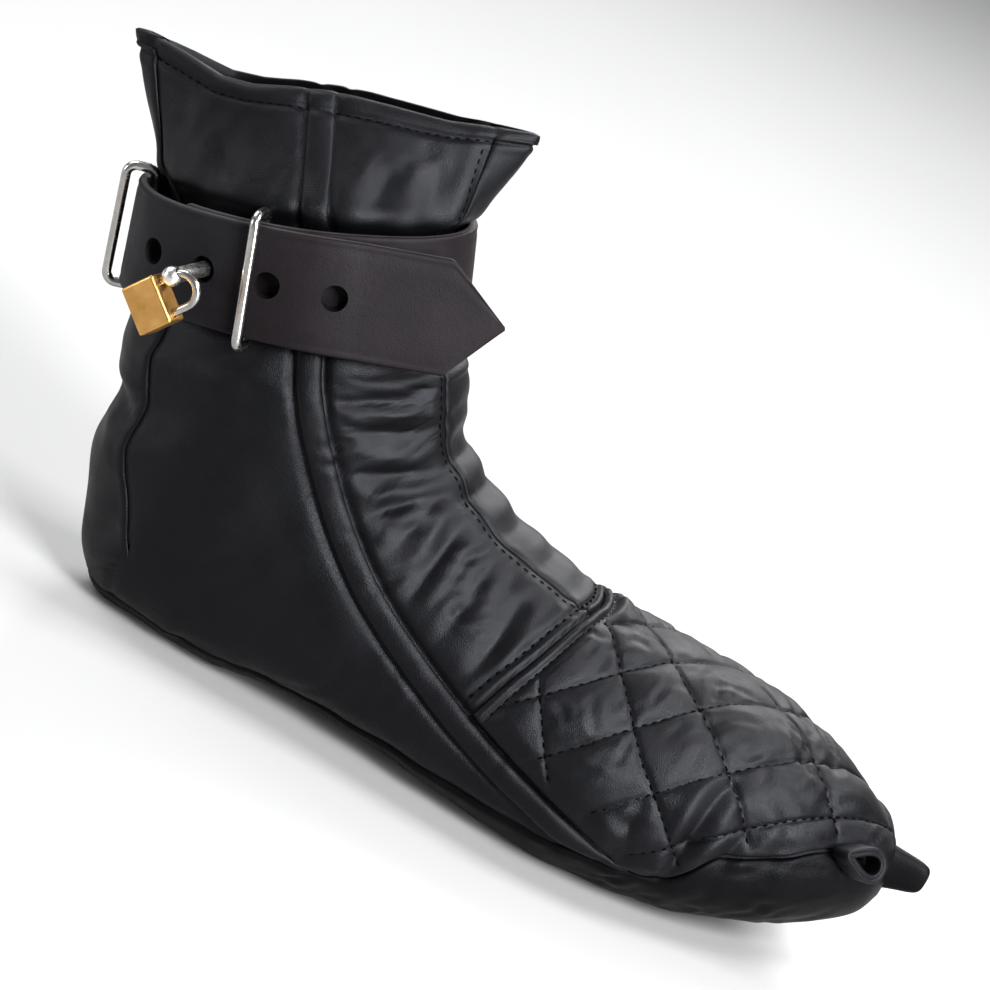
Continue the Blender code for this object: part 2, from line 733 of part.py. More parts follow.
def build_post():
    here, ahead, up, out = strap_frame(POST_SHARE, 2)
    inner_here = strap_frame(POST_SHARE, 1)[0]
    back = float(np.dot(inner_here - here, out))
    reach = STRAP_THICK + POST_REACH
    profile = [(back - 1.9, 4.2), (back - 1.1, 4.4), (back - 0.45, 4.4), (back - 0.44, POST_RADIUS)]
    profile += [(STRAP_THICK + 1.0, POST_RADIUS), (reach - 4.6, POST_RADIUS)]
    for angle in (-40, -20, 0, 20, 40, 60):
        a = math.radians(angle)
        profile.append((reach + EYE_RADIUS * math.sin(a), EYE_RADIUS * math.cos(a)))
    made = lathe("lock_post", profile, here, out, 12, STEEL)
    eye = here + out * reach
    turn = math.radians(LOCK_TURN)
    lock_ahead = ahead * math.cos(turn) + up * math.sin(turn)
    lock_up = up * math.cos(turn) - ahead * math.sin(turn)
    drill(made, "eye_cutter", eye - lock_ahead * 6.0, eye + lock_ahead * 6.0, EYE_HOLE, 16)
    return made, eye, lock_ahead, lock_up, out


def build_padlock(eye, ahead, up, out):
    low_leg = eye - up * SHACKLE_SPACING
    start = LOCK_START
    path = [eye - ahead * (start + 4.0), eye - ahead * start, eye + ahead * 1.5]
    middle = (eye + low_leg) / 2 + ahead * 1.5
    radius = SHACKLE_SPACING / 2
    for step in range(1, 10):
        angle = math.radians(90 - step * 18)
        path.append(middle + up * radius * math.sin(angle) + ahead * SHACKLE_REACH * math.cos(angle))
    path += [low_leg + ahead * 1.5, low_leg - ahead * start, low_leg - ahead * (start + 4.0)]
    shackle = tube("padlock_shackle", path, SHACKLE_WIRE / 2, 10, STEEL, False)
    centre = (eye + low_leg) / 2 - ahead * (start + LOCK_LONG / 2)
    mesh = bpy.data.meshes.new("padlock_body")
    body = bmesh.new()
    bmesh.ops.create_cube(body, size=1.0)
    size = (LOCK_LONG, LOCK_HIGH, LOCK_THICK)
    for vert in body.verts:
        spot = centre + ahead * vert.co[0] * size[0] + up * vert.co[1] * size[1] + out * vert.co[2] * size[2]
        vert.co = tuple(spot * MM)
    bmesh.ops.bevel(body, geom=list(body.edges), offset=0.9 * MM, segments=2, affect="EDGES", profile=0.5)
    bmesh.ops.recalc_face_normals(body, faces=body.faces)
    body.to_mesh(mesh)
    body.free()
    mesh.materials.append(BRASS)
    made = bpy.data.objects.new("padlock_body", mesh)
    bpy.context.scene.collection.objects.link(made)
    for k, leg in enumerate((eye, low_leg)):
        drill(made, "leg_cutter_%d" % (k + 1), leg - ahead * (start + 4.2), leg - ahead * (start - 2.0),
              SHACKLE_WIRE + 0.3, 14)
    return shackle, made


def band_loop(name, path, wide, thick, surface):
    """A closed band: path is its middle line, wide the direction across it."""
    path = np.asarray(path, float)
    count = len(path)
    wide = np.asarray(wide, float)
    flat = wide / np.linalg.norm(wide)
    points = []
    for i in range(count):
        run = path[(i + 1) % count] - path[i - 1]
        run -= flat * np.dot(run, flat)
        run /= np.linalg.norm(run)
        out = np.cross(run, flat)
        for a, b in ((-1, -1), (1, -1), (1, 1), (-1, 1)):
            points.append(path[i] + out * a * thick / 2 + wide * b / 2)
    faces = []
    for i in range(count):
        nxt = (i + 1) % count
        for k in range(4):
            k2 = (k + 1) % 4
            faces.append((i * 4 + k, i * 4 + k2, nxt * 4 + k2, nxt * 4 + k))
    return solid(name, points, faces, surface)


def oval(centre, long_way, short_way, half_long, half_short, count, power, taper=0.0):
    """Closed oval path; a power above 2 makes it squarer, and a taper narrows its near end."""
    path = []
    for k in range(count):
        angle = 2 * math.pi * k / count
        a = math.copysign(abs(math.cos(angle)) ** (2 / power), math.cos(angle))
        b = math.copysign(abs(math.sin(angle)) ** (2 / power), math.sin(angle))
        path.append(centre + long_way * half_long * a + short_way * half_short * b * (1.0 + taper * a))
    return path


def build_toe_loops():
    ahead, down, out = across(24.0, 0.36, -1.0)
    forward = -ahead / np.linalg.norm(ahead)
    rise = np.cross(out, forward)
    rise /= np.linalg.norm(rise)
    if rise[2] < 0:
        rise = -rise
    foot = skin(24.0, 0.36, -1.0, 0.0)
    centre = foot + out * 5.4 + forward * 1.5
    side_path = oval(centre, forward, rise, 8.2, 2.9, 20, 1.9, 0.3)
    side_loop = band_loop("toe_loop_side", side_path, out * 8.0, 2.2, BLACK_LEATHER)
    crown = skin(0.0, 0.0, -1.0, 0.0)
    base = skin(0.0, 1.0, -1.0, 0.0)
    front = (crown + base) / 2
    middle = front + np.array([6.9, 0.0, 3.0])
    tip_path = oval(middle, np.array([1.0, 0.0, 0.0]), np.array([0.0, 1.0, 0.0]), 5.5, 1.6, 20, 2.2)
    tip_loop = band_loop("toe_loop_tip", tip_path, np.array([0.0, 0.0, 8.6]), 1.7, BLACK_LEATHER)
    return side_loop, tip_loop


build_upper()
build_sole()
build_insole()
build_toe_cap()
side_strip("side_strip_right", -1.0)
side_strip("side_strip_left", 1.0)
centre_strip("instep_strip", INSTEP_STRIP, (155.0,) + FOOT[14:] + (HEEL_END,) + SHAFT[:-1], 0, 3)
centre_strip("heel_panel", HEEL_PANEL, SHAFT[:-1], 1, 5)
build_strap()
REAR_RING_PATH = ring_path(REAR_RING_SHARE, REAR_RING_HEIGHT, -RING_WIRE / 2 - 0.6, STRAP_THICK + 4.6)
FRONT_RING_PATH = ring_path(FRONT_RING_SHARE, FRONT_RING_HEIGHT, -STRAP_THICK - RING_WIRE / 2 - 1.2,
                            STRAP_THICK + RING_WIRE / 2 + 0.9)
tube("rear_ring", REAR_RING_PATH, RING_WIRE / 2, 8, STEEL, True)
tube("front_ring", FRONT_RING_PATH, RING_WIRE / 2, 8, STEEL, True)
POST_PARTS = build_post()
build_padlock(*POST_PARTS[1:])
build_toe_loops()
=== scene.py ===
# Looks of the soft black leather ankle boot: quilted toe cap, seams, creases, strap, rings and padlock.
# Tables are in millimetres, as in the solid model, and the pieces are made in metres.
import json
import math

import bmesh
import bpy
import numpy as np
from mathutils import Matrix

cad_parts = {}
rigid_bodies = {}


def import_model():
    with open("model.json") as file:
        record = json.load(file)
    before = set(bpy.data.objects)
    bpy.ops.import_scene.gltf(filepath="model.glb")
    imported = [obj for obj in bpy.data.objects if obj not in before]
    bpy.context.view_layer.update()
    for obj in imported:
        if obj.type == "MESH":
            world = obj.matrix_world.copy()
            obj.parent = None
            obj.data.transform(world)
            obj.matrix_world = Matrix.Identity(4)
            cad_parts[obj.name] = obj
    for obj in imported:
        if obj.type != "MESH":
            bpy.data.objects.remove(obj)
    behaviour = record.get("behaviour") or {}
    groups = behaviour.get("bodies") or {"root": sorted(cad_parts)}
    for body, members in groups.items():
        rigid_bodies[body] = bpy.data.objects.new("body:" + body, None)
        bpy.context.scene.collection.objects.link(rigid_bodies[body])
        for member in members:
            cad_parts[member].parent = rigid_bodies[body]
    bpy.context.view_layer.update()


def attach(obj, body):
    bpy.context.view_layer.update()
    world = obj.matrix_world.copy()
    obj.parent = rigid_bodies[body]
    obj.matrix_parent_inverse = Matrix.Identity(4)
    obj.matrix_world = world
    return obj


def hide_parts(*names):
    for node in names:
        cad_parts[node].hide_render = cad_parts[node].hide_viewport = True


for old in list(bpy.data.objects):
    bpy.data.objects.remove(old, do_unlink=True)
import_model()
MM = 0.001
SEED = np.random.default_rng(7)

# Leather sizes, as in the solid model
UPPER_WALL = 2.0
SOLE_PROUD = 0.8
SEAM_GAP = 0.3
INSOLE_LIFT = 3.65
INSOLE_INSET = 17.0
INSOLE_EDGE = 0.79
INSOLE_THICK = 1.7
HEEL_END = 292.6

# Strap, rings, post and padlock, as in the solid model
STRAP_LOW = 394.0
STRAP_HIGH = 432.0
STRAP_THICK = 3.2
STRAP_HOLE = 8.6
STRAP_HOLES = (0.80, 0.53, 0.39)
STRAP_START = 0.755
STRAP_LEAVES = 0.34
STRAP_FREE = 47.5
STRAP_DROOP_FROM = 0.60
STRAP_DROOP = 0.14
STRAP_POINT = 19.0
POST_SHARE = 0.67
RING_WIRE = 3.2
RING_CORNER = 3.4
POST_RADIUS = 2.5
POST_REACH = 18.0
EYE_RADIUS = 3.3
EYE_HOLE = 3.4
SHACKLE_WIRE = 2.7
SHACKLE_SPACING = 10.5
SHACKLE_REACH = 5.2
LOCK_LONG = 12.5
LOCK_HIGH = 16.0
LOCK_THICK = 9.0
LOCK_START = 4.2
LOCK_TURN = 36.0

# Rings: piece, node, share of the girth, height, and the bars' centres out from the strap's inner face
RINGS = (
    ("rear_ring_wire", "rear_ring", 0.975, 42.8, -RING_WIRE / 2 - 0.6, STRAP_THICK + 4.6),
    ("front_ring_wire", "front_ring", 0.568, 46.4,
     -STRAP_THICK - RING_WIRE / 2 - 1.2, STRAP_THICK + RING_WIRE / 2 + 0.9),
)

# Sections of the boot from the toe round the heel to the collar
# crown x, crown z, base x, base z, half width, share of height where widest, crown fullness, base fullness
SECTIONS = (
    (230, 45, 230.5, 33, 4, 0.50, 2, 2),
    (226.5, 51.5, 227, 26, 12.5, 0.48, 2, 2),
    (216, 59, 216.5, 18, 24.5, 0.46, 2, 2.2),
    (198.5, 66, 198.5, 10, 36.5, 0.44, 2.1, 2.5),
    (178.5, 71.8, 176.5, 3.4, 45, 0.42, 2.1, 2.8),
    (156, 74.5, 152, -0.5, 50.5, 0.40, 2.1, 3),
    (132, 75, 124, -1, 52, 0.38, 2.1, 3),
    (109.5, 77, 94, 0.4, 49, 0.37, 2.1, 3),
    (86.5, 82.5, 62, 2.6, 44.5, 0.37, 2, 2.8),
    (64, 90, 30, 3.2, 41, 0.40, 2, 2.8),
    (47.5, 100, 2, -1, 39.5, 0.44, 2, 2.8),
    (39.5, 106.5, -24, -0.8, 39, 0.47, 2, 2.5),
    (38, 112.5, -45.5, 2, 38.5, 0.50, 2, 2.2),
    (36.5, 116, -54, 13, 38.5, 0.50, 2, 2),
    (35.5, 119, -59, 28, 38.5, 0.50, 2, 2),
    (34, 122, -65, 46, 39, 0.50, 2, 2),
    (32, 124.5, -65, 65, 39, 0.50, 2, 2),
    (30.5, 127, -72, 82, 38.5, 0.50, 2, 2),
    (23.5, 130.5, -72, 100, 34, 0.50, 2.1, 2.1),
    (7.5, 166.5, -79.5, 136, 31.5, 0.50, 2.1, 2.1),
    (12, 175.5, -86.5, 141.5, 33.5, 0.50, 1.9, 1.9),
    (15.5, 190, -97, 154.5, 24, 0.50, 1.5, 1.5),
    (17.5, 207, -112.5, 176.5, 9, 0.50, 1.15, 1.15),
)

# Height of the seam between upper and sole: place along the boot, height
SEAM = (
    (0, 41), (9, 45.5), (20, 48.6), (32, 48), (46, 41.5), (60, 36.8), (66, 34), (70, 29), (75, 22),
    (81, 18.8), (90, 17.2), (106, 15), (137, 12.5), (180, 11.5), (212, 9.5), (241, 7.5), (267, 6.5),
    (300, 6),
)

# How far the collar edge is cut below the last section: share of the girth, cut
COLLAR_CUT = (
    (0, 0.8), (0.10, 2), (0.20, 3.6), (0.35, 2.8), (0.50, 3),
    (0.60, 5.2), (0.70, 7.8), (0.78, 8), (0.88, 4.2), (1, 0.8),
)
FAR_EDGE_CUT = 4.5
CUT_BLEND = 40.0

# Middle of the raised side strip, seen from the side: x, z
SIDE_STRIP = (
    (157, 18.4), (148, 18.2), (139, 18.8), (128, 20.9), (110.4, 25.4), (88.5, 32.3), (61.8, 43.2),
    (37.5, 56.6), (17.2, 73.6), (1, 93), (-11.8, 113), (-21.5, 133), (-30.5, 154.5), (-39, 171), (-49.5, 190),
)
SIDE_STRIP_HALF = 4.2
STRIP_FIRST = 88.0

# Rear edge of the toe cap: share of the girth on each side, place along the boot
CAP_REAR = (
    (0, 150.6), (0.030, 150.9), (0.075, 152.6), (0.145, 155.8), (0.290, 161), (0.410, 164.5), (0.480, 165.5),
)
CAP_FRONT = 4.0

# Half width of the strip along the instep and shaft front, and of the panel up the heel: place, half width
INSTEP_STRIP = ((149, 12.8), (180, 14), (212, 14.5), (250, 13), (300, 15.5), (375, 15), (482, 13))
HEEL_PANEL = (
    (296, 38), (307, 36.5), (326, 32), (347, 29.5), (370, 29.5),
    (390, 29), (412, 22), (440, 11), (458, 7.5), (482, 6.5),
)

# Gap between strap and shaft: girth from the front by the outside (1 is the back), inner layer, outer layer
STRAP_GAPS = (
    (0, 2.4, 6.2), (0.17, 2.4, 6.2), (0.30, 2.7, 6.5), (0.46, 4.6, 8.3), (0.72, 4.8, 8.4), (0.84, 4.8, 8.2),
    (0.92, 4.8, 7.4), (1, 4.8, 6.5), (1.08, 4.8, 4.6), (1.16, 2.8, 2.8), (1.26, 2.4, 2.4), (1.40, 2.4, 2.4),
    (2, 2.4, 2.4),
)

# Two families of quilting lines: places along the boot, plus or minus the way down from the crown
QUILT_A = (-38, 0, 38, 78, 125, 158, 201, 242, 284)
QUILT_B = (-92, -58, -24, 11, 36, 69, 100, 132, 165, 198, 231)
QUILT_BEND = 0.28
QUILT_BEND_PLACE = 105.0
QUILT_PUFF = 2.2

# Folded tab at the toe: x, middle z, half height, half width
TIP_TAB = (
    (225, 42, 8.6, 4.4), (228.5, 42.6, 8.1, 4), (232, 43.2, 7.3, 3.5), (235.5, 43.7, 6.6, 3.1),
    (239, 44.1, 5.9, 2.8), (241.4, 44.3, 5.1, 2.4), (242.6, 44.4, 4.2, 1.9), (243.2, 44.4, 2.9, 1.2),
    (243.4, 44.4, 1.3, 0.5),
)

# Soft humps and grooves across seams: height, distance from the seam's line, half width
RIM_HUMPS = ((-0.75, 7.2, 0.9), (0.3, 10.5, 2.2))
CAP_SEAM_HUMPS = ((1.1, 2.4, 1.4), (-0.8, 5.1, 0.9), (0.5, 8.6, 2.4), (-0.7, 0, 0.8))
CAP_BAND_HUMPS = ((0.8, 2.3, 1.4), (-0.55, 5, 0.9))
INSTEP_HUMPS = ((-0.45, 0, 1.2), (0.2, 5.6, 2.4))
STRAP_BULGES = ((1, STRAP_LOW - 7, 6), (1.1, STRAP_HIGH + 7, 5))

# Stitches: length, gap, radius of the thread
QUILT_STITCH = (2.7, 0.9, 0.42)
CAP_STITCH = (2.3, 1.4, 0.48)
PANEL_STITCH = (2.4, 0.8, 0.28)

# Creases in the leather: side (-1 right, 1 left), half width, depth, then place and share of each point
CREASES = (
    (-1, 2.8, 1.9, ((362, 0.37), (357, 0.31), (352, 0.23), (349, 0.16))),
    (-1, 3.0, 2.9, ((333, 0.33), (322, 0.26), (311, 0.20), (288, 0.10))),
    (-1, 3.0, 2.6, ((298, 0.30), (285, 0.25), (272, 0.20), (248, 0.11))),
    (-1, 2.9, 2.3, ((257, 0.29), (250, 0.23), (244, 0.18), (226, 0.10))),
    (-1, 2.2, 1.0, ((346, 0.34), (338, 0.27), (328, 0.20), (312, 0.12))),
    (-1, 2.2, 1.1, ((314, 0.31), (303, 0.25), (290, 0.18), (270, 0.10))),
    (-1, 2.3, 1.1, ((277, 0.29), (267, 0.23), (257, 0.17), (240, 0.11))),
    (-1, 2.7, 1.6, ((221, 0.17), (219, 0.22), (216, 0.30), (213, 0.38))),
    (-1, 2.9, 1.7, ((181, 0.18), (180, 0.23), (177, 0.33), (175, 0.43))),
    (-1, 2.4, 1.1, ((238, 0.16), (236, 0.24), (234, 0.33))),
    (-1, 2.5, 1.0, ((201, 0.15), (198, 0.24), (195, 0.34), (193, 0.42))),
    (-1, 2.6, 0.8, ((209, 0.20), (206, 0.28), (204, 0.36))),
    (-1, 2.6, 0.8, ((190, 0.14), (188, 0.22), (186, 0.30))),
    (-1, 4.0, 1.5, ((308, 0.95), (307, 0.87), (305, 0.80))),
    (-1, 4.0, 2.2, ((358, 0.98), (355, 0.90), (350, 0.83))),
    (-1, 4.5, 1.4, ((441, 0.22), (452, 0.20), (464, 0.21))),
    (-1, 4.5, 1.1, ((438, 0.36), (449, 0.33), (459, 0.32))),
    (-1, 4.5, 1.2, ((440, 0.70), (452, 0.72), (462, 0.75))),
    (-1, 2.8, 2.4, ((76, 0.60), (77, 0.53), (77, 0.45), (76, 0.37), (72, 0.30))),
    (-1, 2.6, 1.6, ((63, 0.54), (62, 0.46), (60, 0.39))),
    (-1, 3.6, 1.3, ((92, 0.60), (95, 0.53), (99, 0.47))),
    (-1, 3.0, 1.0, ((48, 0.52), (47, 0.44), (45, 0.38))),
    (-1, 4.5, 1.4, ((229, 0.12), (225, 0.0), (229, -0.12))),
    (-1, 4.0, 1.3, ((252, 0.12), (248, 0.0), (252, -0.12))),
    (-1, 4.2, 1.1, ((205, 0.12), (201, 0.0), (205, -0.12))),
    (-1, 3.6, 0.9, ((184, 0.11), (181, 0.0), (184, -0.11))),
    (1, 3.0, 1.8, ((358, 0.38), (355, 0.30), (349, 0.22))),
    (1, 3.2, 2.5, ((330, 0.34), (318, 0.26), (306, 0.19), (286, 0.11))),
    (1, 3.2, 2.2, ((294, 0.31), (281, 0.25), (266, 0.18), (247, 0.11))),
    (1, 3.2, 1.8, ((252, 0.30), (243, 0.20), (230, 0.11))),
    (1, 2.4, 1.0, ((311, 0.31), (299, 0.24), (286, 0.17), (266, 0.11))),
    (1, 4.0, 1.5, ((216, 0.18), (213, 0.28), (211, 0.39))),
    (1, 4.4, 1.4, ((184, 0.19), (181, 0.30), (178, 0.43))),
    (1, 4.0, 1.9, ((357, 0.97), (353, 0.89), (349, 0.82))),
    (1, 4.5, 1.3, ((441, 0.27), (452, 0.25), (463, 0.26))),
    (1, 4.5, 1.2, ((440, 0.62), (452, 0.64), (462, 0.66))),
    (1, 2.8, 2.0, ((72, 0.58), (74, 0.50), (75, 0.42), (73, 0.34))),
)

# Small wrinkles, scattered by a fixed seed: count, place range, share range, length range, half width range,
# depth range, lean of the wrinkles from straight along the boot in degrees, and how much the lean varies
WRINKLES = (
    (46, (168, 372), (0.11, 0.37), (9, 24), (1.3, 2.0), (0.25, 0.60), 48, 16),
    (84, (14, 158), (0.02, 0.52), (9, 22), (1.3, 2.1), (0.22, 0.60), 40, 34),
    (36, (180, 390), (0.46, 0.92), (14, 34), (1.8, 2.8), (0.15, 0.35), 70, 30),
    (26, (436, 474), (0.05, 0.95), (9, 24), (1.8, 2.8), (0.12, 0.30), 8, 16),
    (34, (14, 120), (0.56, 0.80), (8, 18), (1.4, 2.2), (0.20, 0.50), 60, 35),
)

# Where the strap's rear colour fades into its front colour: x in metres
REAR_FADE = (-0.062, -0.036)

# Lights: name, place and aim in metres, size, power
LIGHTS = (
    ("key_light", (0.68, -0.99, 0.94), (0.07, 0.0, 0.07), 0.5, 56),
    ("right_light", (1.15, -0.80, 0.32), (0.05, 0.0, 0.10), 0.4, 25),
    ("top_light", (0.80, 0.00, 1.30), (0.10, 0.0, 0.06), 0.5, 32),
    ("left_light", (-1.25, -0.42, 0.20), (-0.05, 0.0, 0.13), 0.36, 7),
    ("back_light", (0.20, 1.15, 0.95), (0.08, 0.0, 0.08), 0.9, 24),
    ("floor_light", (-0.90, 0.35, 0.95), (-0.40, 0.30, 0.0), 0.8, 18),
)

# Camera: the point it looks at, its distance, height above the horizon, roll and lens
LOOK_AT = (58.8, 0.88, 92.55)
CAMERA_FAR = 1500.0
CAMERA_HEIGHT = 19.0
CAMERA_ROLL = 28.0
CAMERA_LENS = 167.8


def curve(knots, values, places):
    """Smooth curve through the rows of a table."""
    knots = np.asarray(knots, float)
    values = np.asarray(values, float)
    flat = values.ndim == 1
    if flat:
        values = values[:, None]
    steps = np.diff(knots)
    rise = np.diff(values, axis=0) / steps[:, None]
    slope = np.empty_like(values)
    slope[0] = rise[0]
    slope[-1] = rise[-1]
    weight = (steps[1:] / (steps[:-1] + steps[1:]))[:, None]
    slope[1:-1] = weight * rise[:-1] + (1 - weight) * rise[1:]
    places = np.clip(np.asarray(places, float), knots[0], knots[-1])
    low = np.clip(np.searchsorted(knots, places, side="right") - 1, 0, len(knots) - 2)
    step = steps[low][..., None]
    t = (places - knots[low])[..., None] / step
    start = (2 * t ** 3 - 3 * t ** 2 + 1) * values[low] + (t ** 3 - 2 * t ** 2 + t) * step * slope[low]
    end = (3 * t ** 2 - 2 * t ** 3) * values[low + 1] + (t ** 3 - t ** 2) * step * slope[low + 1]
    result = start + end
    return result[..., 0] if flat else result


def smooth(rows, places):
    """Smooth curve through a two-column table."""
    rows = np.asarray(rows, float)
    return curve(rows[:, 0], rows[:, 1], places)


def step_up(values, start, end):
    """Smooth rise from 0 to 1 between two values."""
    t = np.clip((np.asarray(values, float) - start) / (end - start), 0, 1)
    return t * t * (3 - 2 * t)


def bell(values, middle, half):
    """Soft hump of height 1 round a middle value."""
    return np.exp(-((values - middle) / half) ** 2)


def humps(values, rows):
    """Sum of soft humps: rows are height, middle and half width."""
    return sum(height * bell(values, middle, half) for height, middle, half in rows)


def rounded(far, radius):
    """Profile of a rounded edge: 0 at the edge, 1 from radius on."""
    t = np.clip(np.asarray(far, float) / radius, 0, 1)
    return np.sqrt(np.clip(1 - (1 - t) ** 2, 0, 1))


def unit(vectors):
    return vectors / np.maximum(np.linalg.norm(vectors, axis=-1, keepdims=True), 1e-9)


def running(line):
    """Running length along a line of points."""
    return np.concatenate([[0], np.cumsum(np.linalg.norm(np.diff(line, axis=0), axis=1))])


def circle(count):
    angles = np.arange(count) * 2 * math.pi / count
    return np.cos(angles), np.sin(angles)


# Surface of the boot as a fine table of points, so that any place on it can be looked up
ROWS = np.array(SECTIONS)
CROWN_STEP = np.hypot(np.diff(ROWS[:, 0]), np.diff(ROWS[:, 1]))
BASE_STEP = np.hypot(np.diff(ROWS[:, 2]), np.diff(ROWS[:, 3]))
KNOTS = np.concatenate([[0], np.cumsum(np.maximum(CROWN_STEP, BASE_STEP))])
LAST = float(KNOTS[-1])
TURN = np.cos(np.linspace(0, math.pi, 181))
FINE_PLACES = np.linspace(0, LAST, 971)
FINE_SHARES = np.linspace(0, 1, 361)


def loop(row):
    """Half section from crown to base, how it moves per millimetre of growth, and its running length."""
    crown_x, crown_z, base_x, base_z, half, widest, crown_full, base_full = row
    along = unit(np.array([crown_x - base_x, crown_z - base_z]))
    crown_move = along * (1 + 1.6 * max(0, 2 - crown_full))
    base_move = -along * (1 + 1.6 * max(0, 2 - base_full))
    lift = widest + np.where(TURN >= 0, 1 - widest, widest) * TURN
    full = np.where(TURN >= 0, crown_full, base_full)
    wide = np.clip(1 - TURN ** 2, 0, 1) ** (1 / full)
    points = np.stack([base_x + lift * (crown_x - base_x), half * wide,
                       base_z + lift * (crown_z - base_z)], axis=1)
    push_x = base_move[0] + lift * (crown_move[0] - base_move[0])
    push_z = base_move[1] + lift * (crown_move[1] - base_move[1])
    return points, np.stack([push_x, wide, push_z], axis=1), running(points)


FINE = np.empty((len(FINE_PLACES), len(FINE_SHARES), 6))
FINE_GIRTH = np.empty(len(FINE_PLACES))
FINE_SEAM = np.empty(len(FINE_PLACES))
SEAM_HEIGHT = smooth(SEAM, FINE_PLACES)
for number, row in enumerate(curve(KNOTS, ROWS, FINE_PLACES)):
    section_points, section_push, section_run = loop(row)
    for column, source in enumerate(np.hstack([section_points, section_push]).T):
        FINE[number, :, column] = np.interp(FINE_SHARES * section_run[-1], section_run, source)
    FINE_GIRTH[number] = section_run[-1]
    FINE_SEAM[number] = np.interp(-SEAM_HEIGHT[number], -FINE[number, :, 2], FINE_SHARES)


def girth(place):
    return np.interp(place, FINE_PLACES, FINE_GIRTH)


def seam_share(place):
    return np.interp(place, FINE_PLACES, FINE_SEAM)


def way_round(place, turn):
    """Way from the crown line round either side, in millimetres."""
    return np.abs((turn + 1) % 2 - 1) * girth(place)


def around(place, turn, grow=0.0):
    """Points on the boot. Turn is 0 on the crown line,
    down to -1 by the right-hand side and up to 1 by the left."""
    place, turn, grow = np.broadcast_arrays(*(np.asarray(values, float) for values in (place, turn, grow)))
    turn = (turn + 1) % 2 - 1
    share = np.abs(turn)
    side = np.where(turn < 0, -1, 1)
    rows = np.array(COLLAR_CUT)
    cut = np.interp(share, rows[:, 0], rows[:, 1])
    cut = cut + np.where(side > 0, FAR_EDGE_CUT * np.sin(math.pi * share), 0)
    place = np.clip(place - cut * np.maximum(0, (place - (LAST - CUT_BLEND)) / CUT_BLEND), 0, LAST)
    i = np.clip(place / LAST * (len(FINE_PLACES) - 1), 0, len(FINE_PLACES) - 1.000001)
    j = np.clip(share * (len(FINE_SHARES) - 1), 0, len(FINE_SHARES) - 1.000001)
    i0 = i.astype(int)
    j0 = j.astype(int)
    s = (i - i0)[..., None]
    t = (j - j0)[..., None]
    found = (FINE[i0, j0] * (1 - s) * (1 - t) + FINE[i0 + 1, j0] * s * (1 - t)
             + FINE[i0, j0 + 1] * (1 - s) * t + FINE[i0 + 1, j0 + 1] * s * t)
    result = found[..., :3] + found[..., 3:] * grow[..., None]
    result[..., 1] *= side
    return result


def directions(place, turn):
    """Change of position per millimetre of place and per unit of turn, and the outward unit normal."""
    ahead = (around(np.minimum(place + 1.2, LAST), turn) - around(np.maximum(place - 1.2, 0), turn)) / 2.4
    down = (around(place, turn + 0.009) - around(place, turn - 0.009)) / 0.018
    out = unit(np.cross(ahead, down))
    push = around(place, turn, 1) - around(place, turn)
    return ahead, down, out * np.where(np.sum(out * push, axis=-1, keepdims=True) < 0, -1, 1)


def nearest(points, line, margin=30.0):
    """Distance from each point to a line of points, and how far along it the nearest one is, from 0 to 1."""
    flat = points.reshape(-1, 3)
    far = np.full(len(flat), 1e3)
    along = np.zeros(len(flat))
    low = line.min(axis=0) - margin
    high = line.max(axis=0) + margin
    chosen = np.flatnonzero(np.all((flat > low) & (flat < high), axis=1))
    for start in range(0, len(chosen), 20000):
        part = chosen[start:start + 20000]
        gaps = np.linalg.norm(flat[part, None, :] - line[None, :, :], axis=2)
        best = gaps.argmin(axis=1)
        far[part] = gaps[np.arange(len(part)), best]
        along[part] = best / (len(line) - 1)
    return far.reshape(points.shape[:-1]), along.reshape(points.shape[:-1])


CREASE_LINES = []
for crease_side, crease_half, crease_depth, crease_points in CREASES:
    spots = np.array(crease_points, float)
    spots = curve(np.arange(len(spots)), spots, np.linspace(0, len(spots) - 1, 30))
    CREASE_LINES.append((around(spots[:, 0], spots[:, 1] * crease_side), crease_half, crease_depth))
for count, place_range, share_range, long_range, half_range, depth_range, lean, vary in WRINKLES:
    for number in range(2 * count):
        side = -1 if number % 2 else 1
        start, share = SEED.uniform(*place_range), SEED.uniform(*share_range)
        angle = math.radians(SEED.normal(lean, vary))
        steps = np.linspace(-0.5, 0.5, 12) * SEED.uniform(*long_range)
        sway = 0.06 * steps ** 2 * SEED.uniform(-1, 1)
        across_way = (steps * math.sin(angle) + sway * math.cos(angle)) / girth(start)
        places = np.clip(start + steps * math.cos(angle) - sway * math.sin(angle), 1, LAST - 1)
        shares = np.clip(share + across_way, 0, 1)
        wrinkle_line = around(places, shares * side)
        CREASE_LINES.append((wrinkle_line, SEED.uniform(*half_range), SEED.uniform(*depth_range)))

# Slow waves of the leather: direction and pitch, phase, size
WAVES = []
for number in range(22):
    wave_way = unit(SEED.normal(size=3)) * 2 * math.pi / SEED.uniform(16, 60)
    WAVES.append((wave_way, SEED.uniform(0, 6.3), SEED.uniform(0.05, 0.16)))


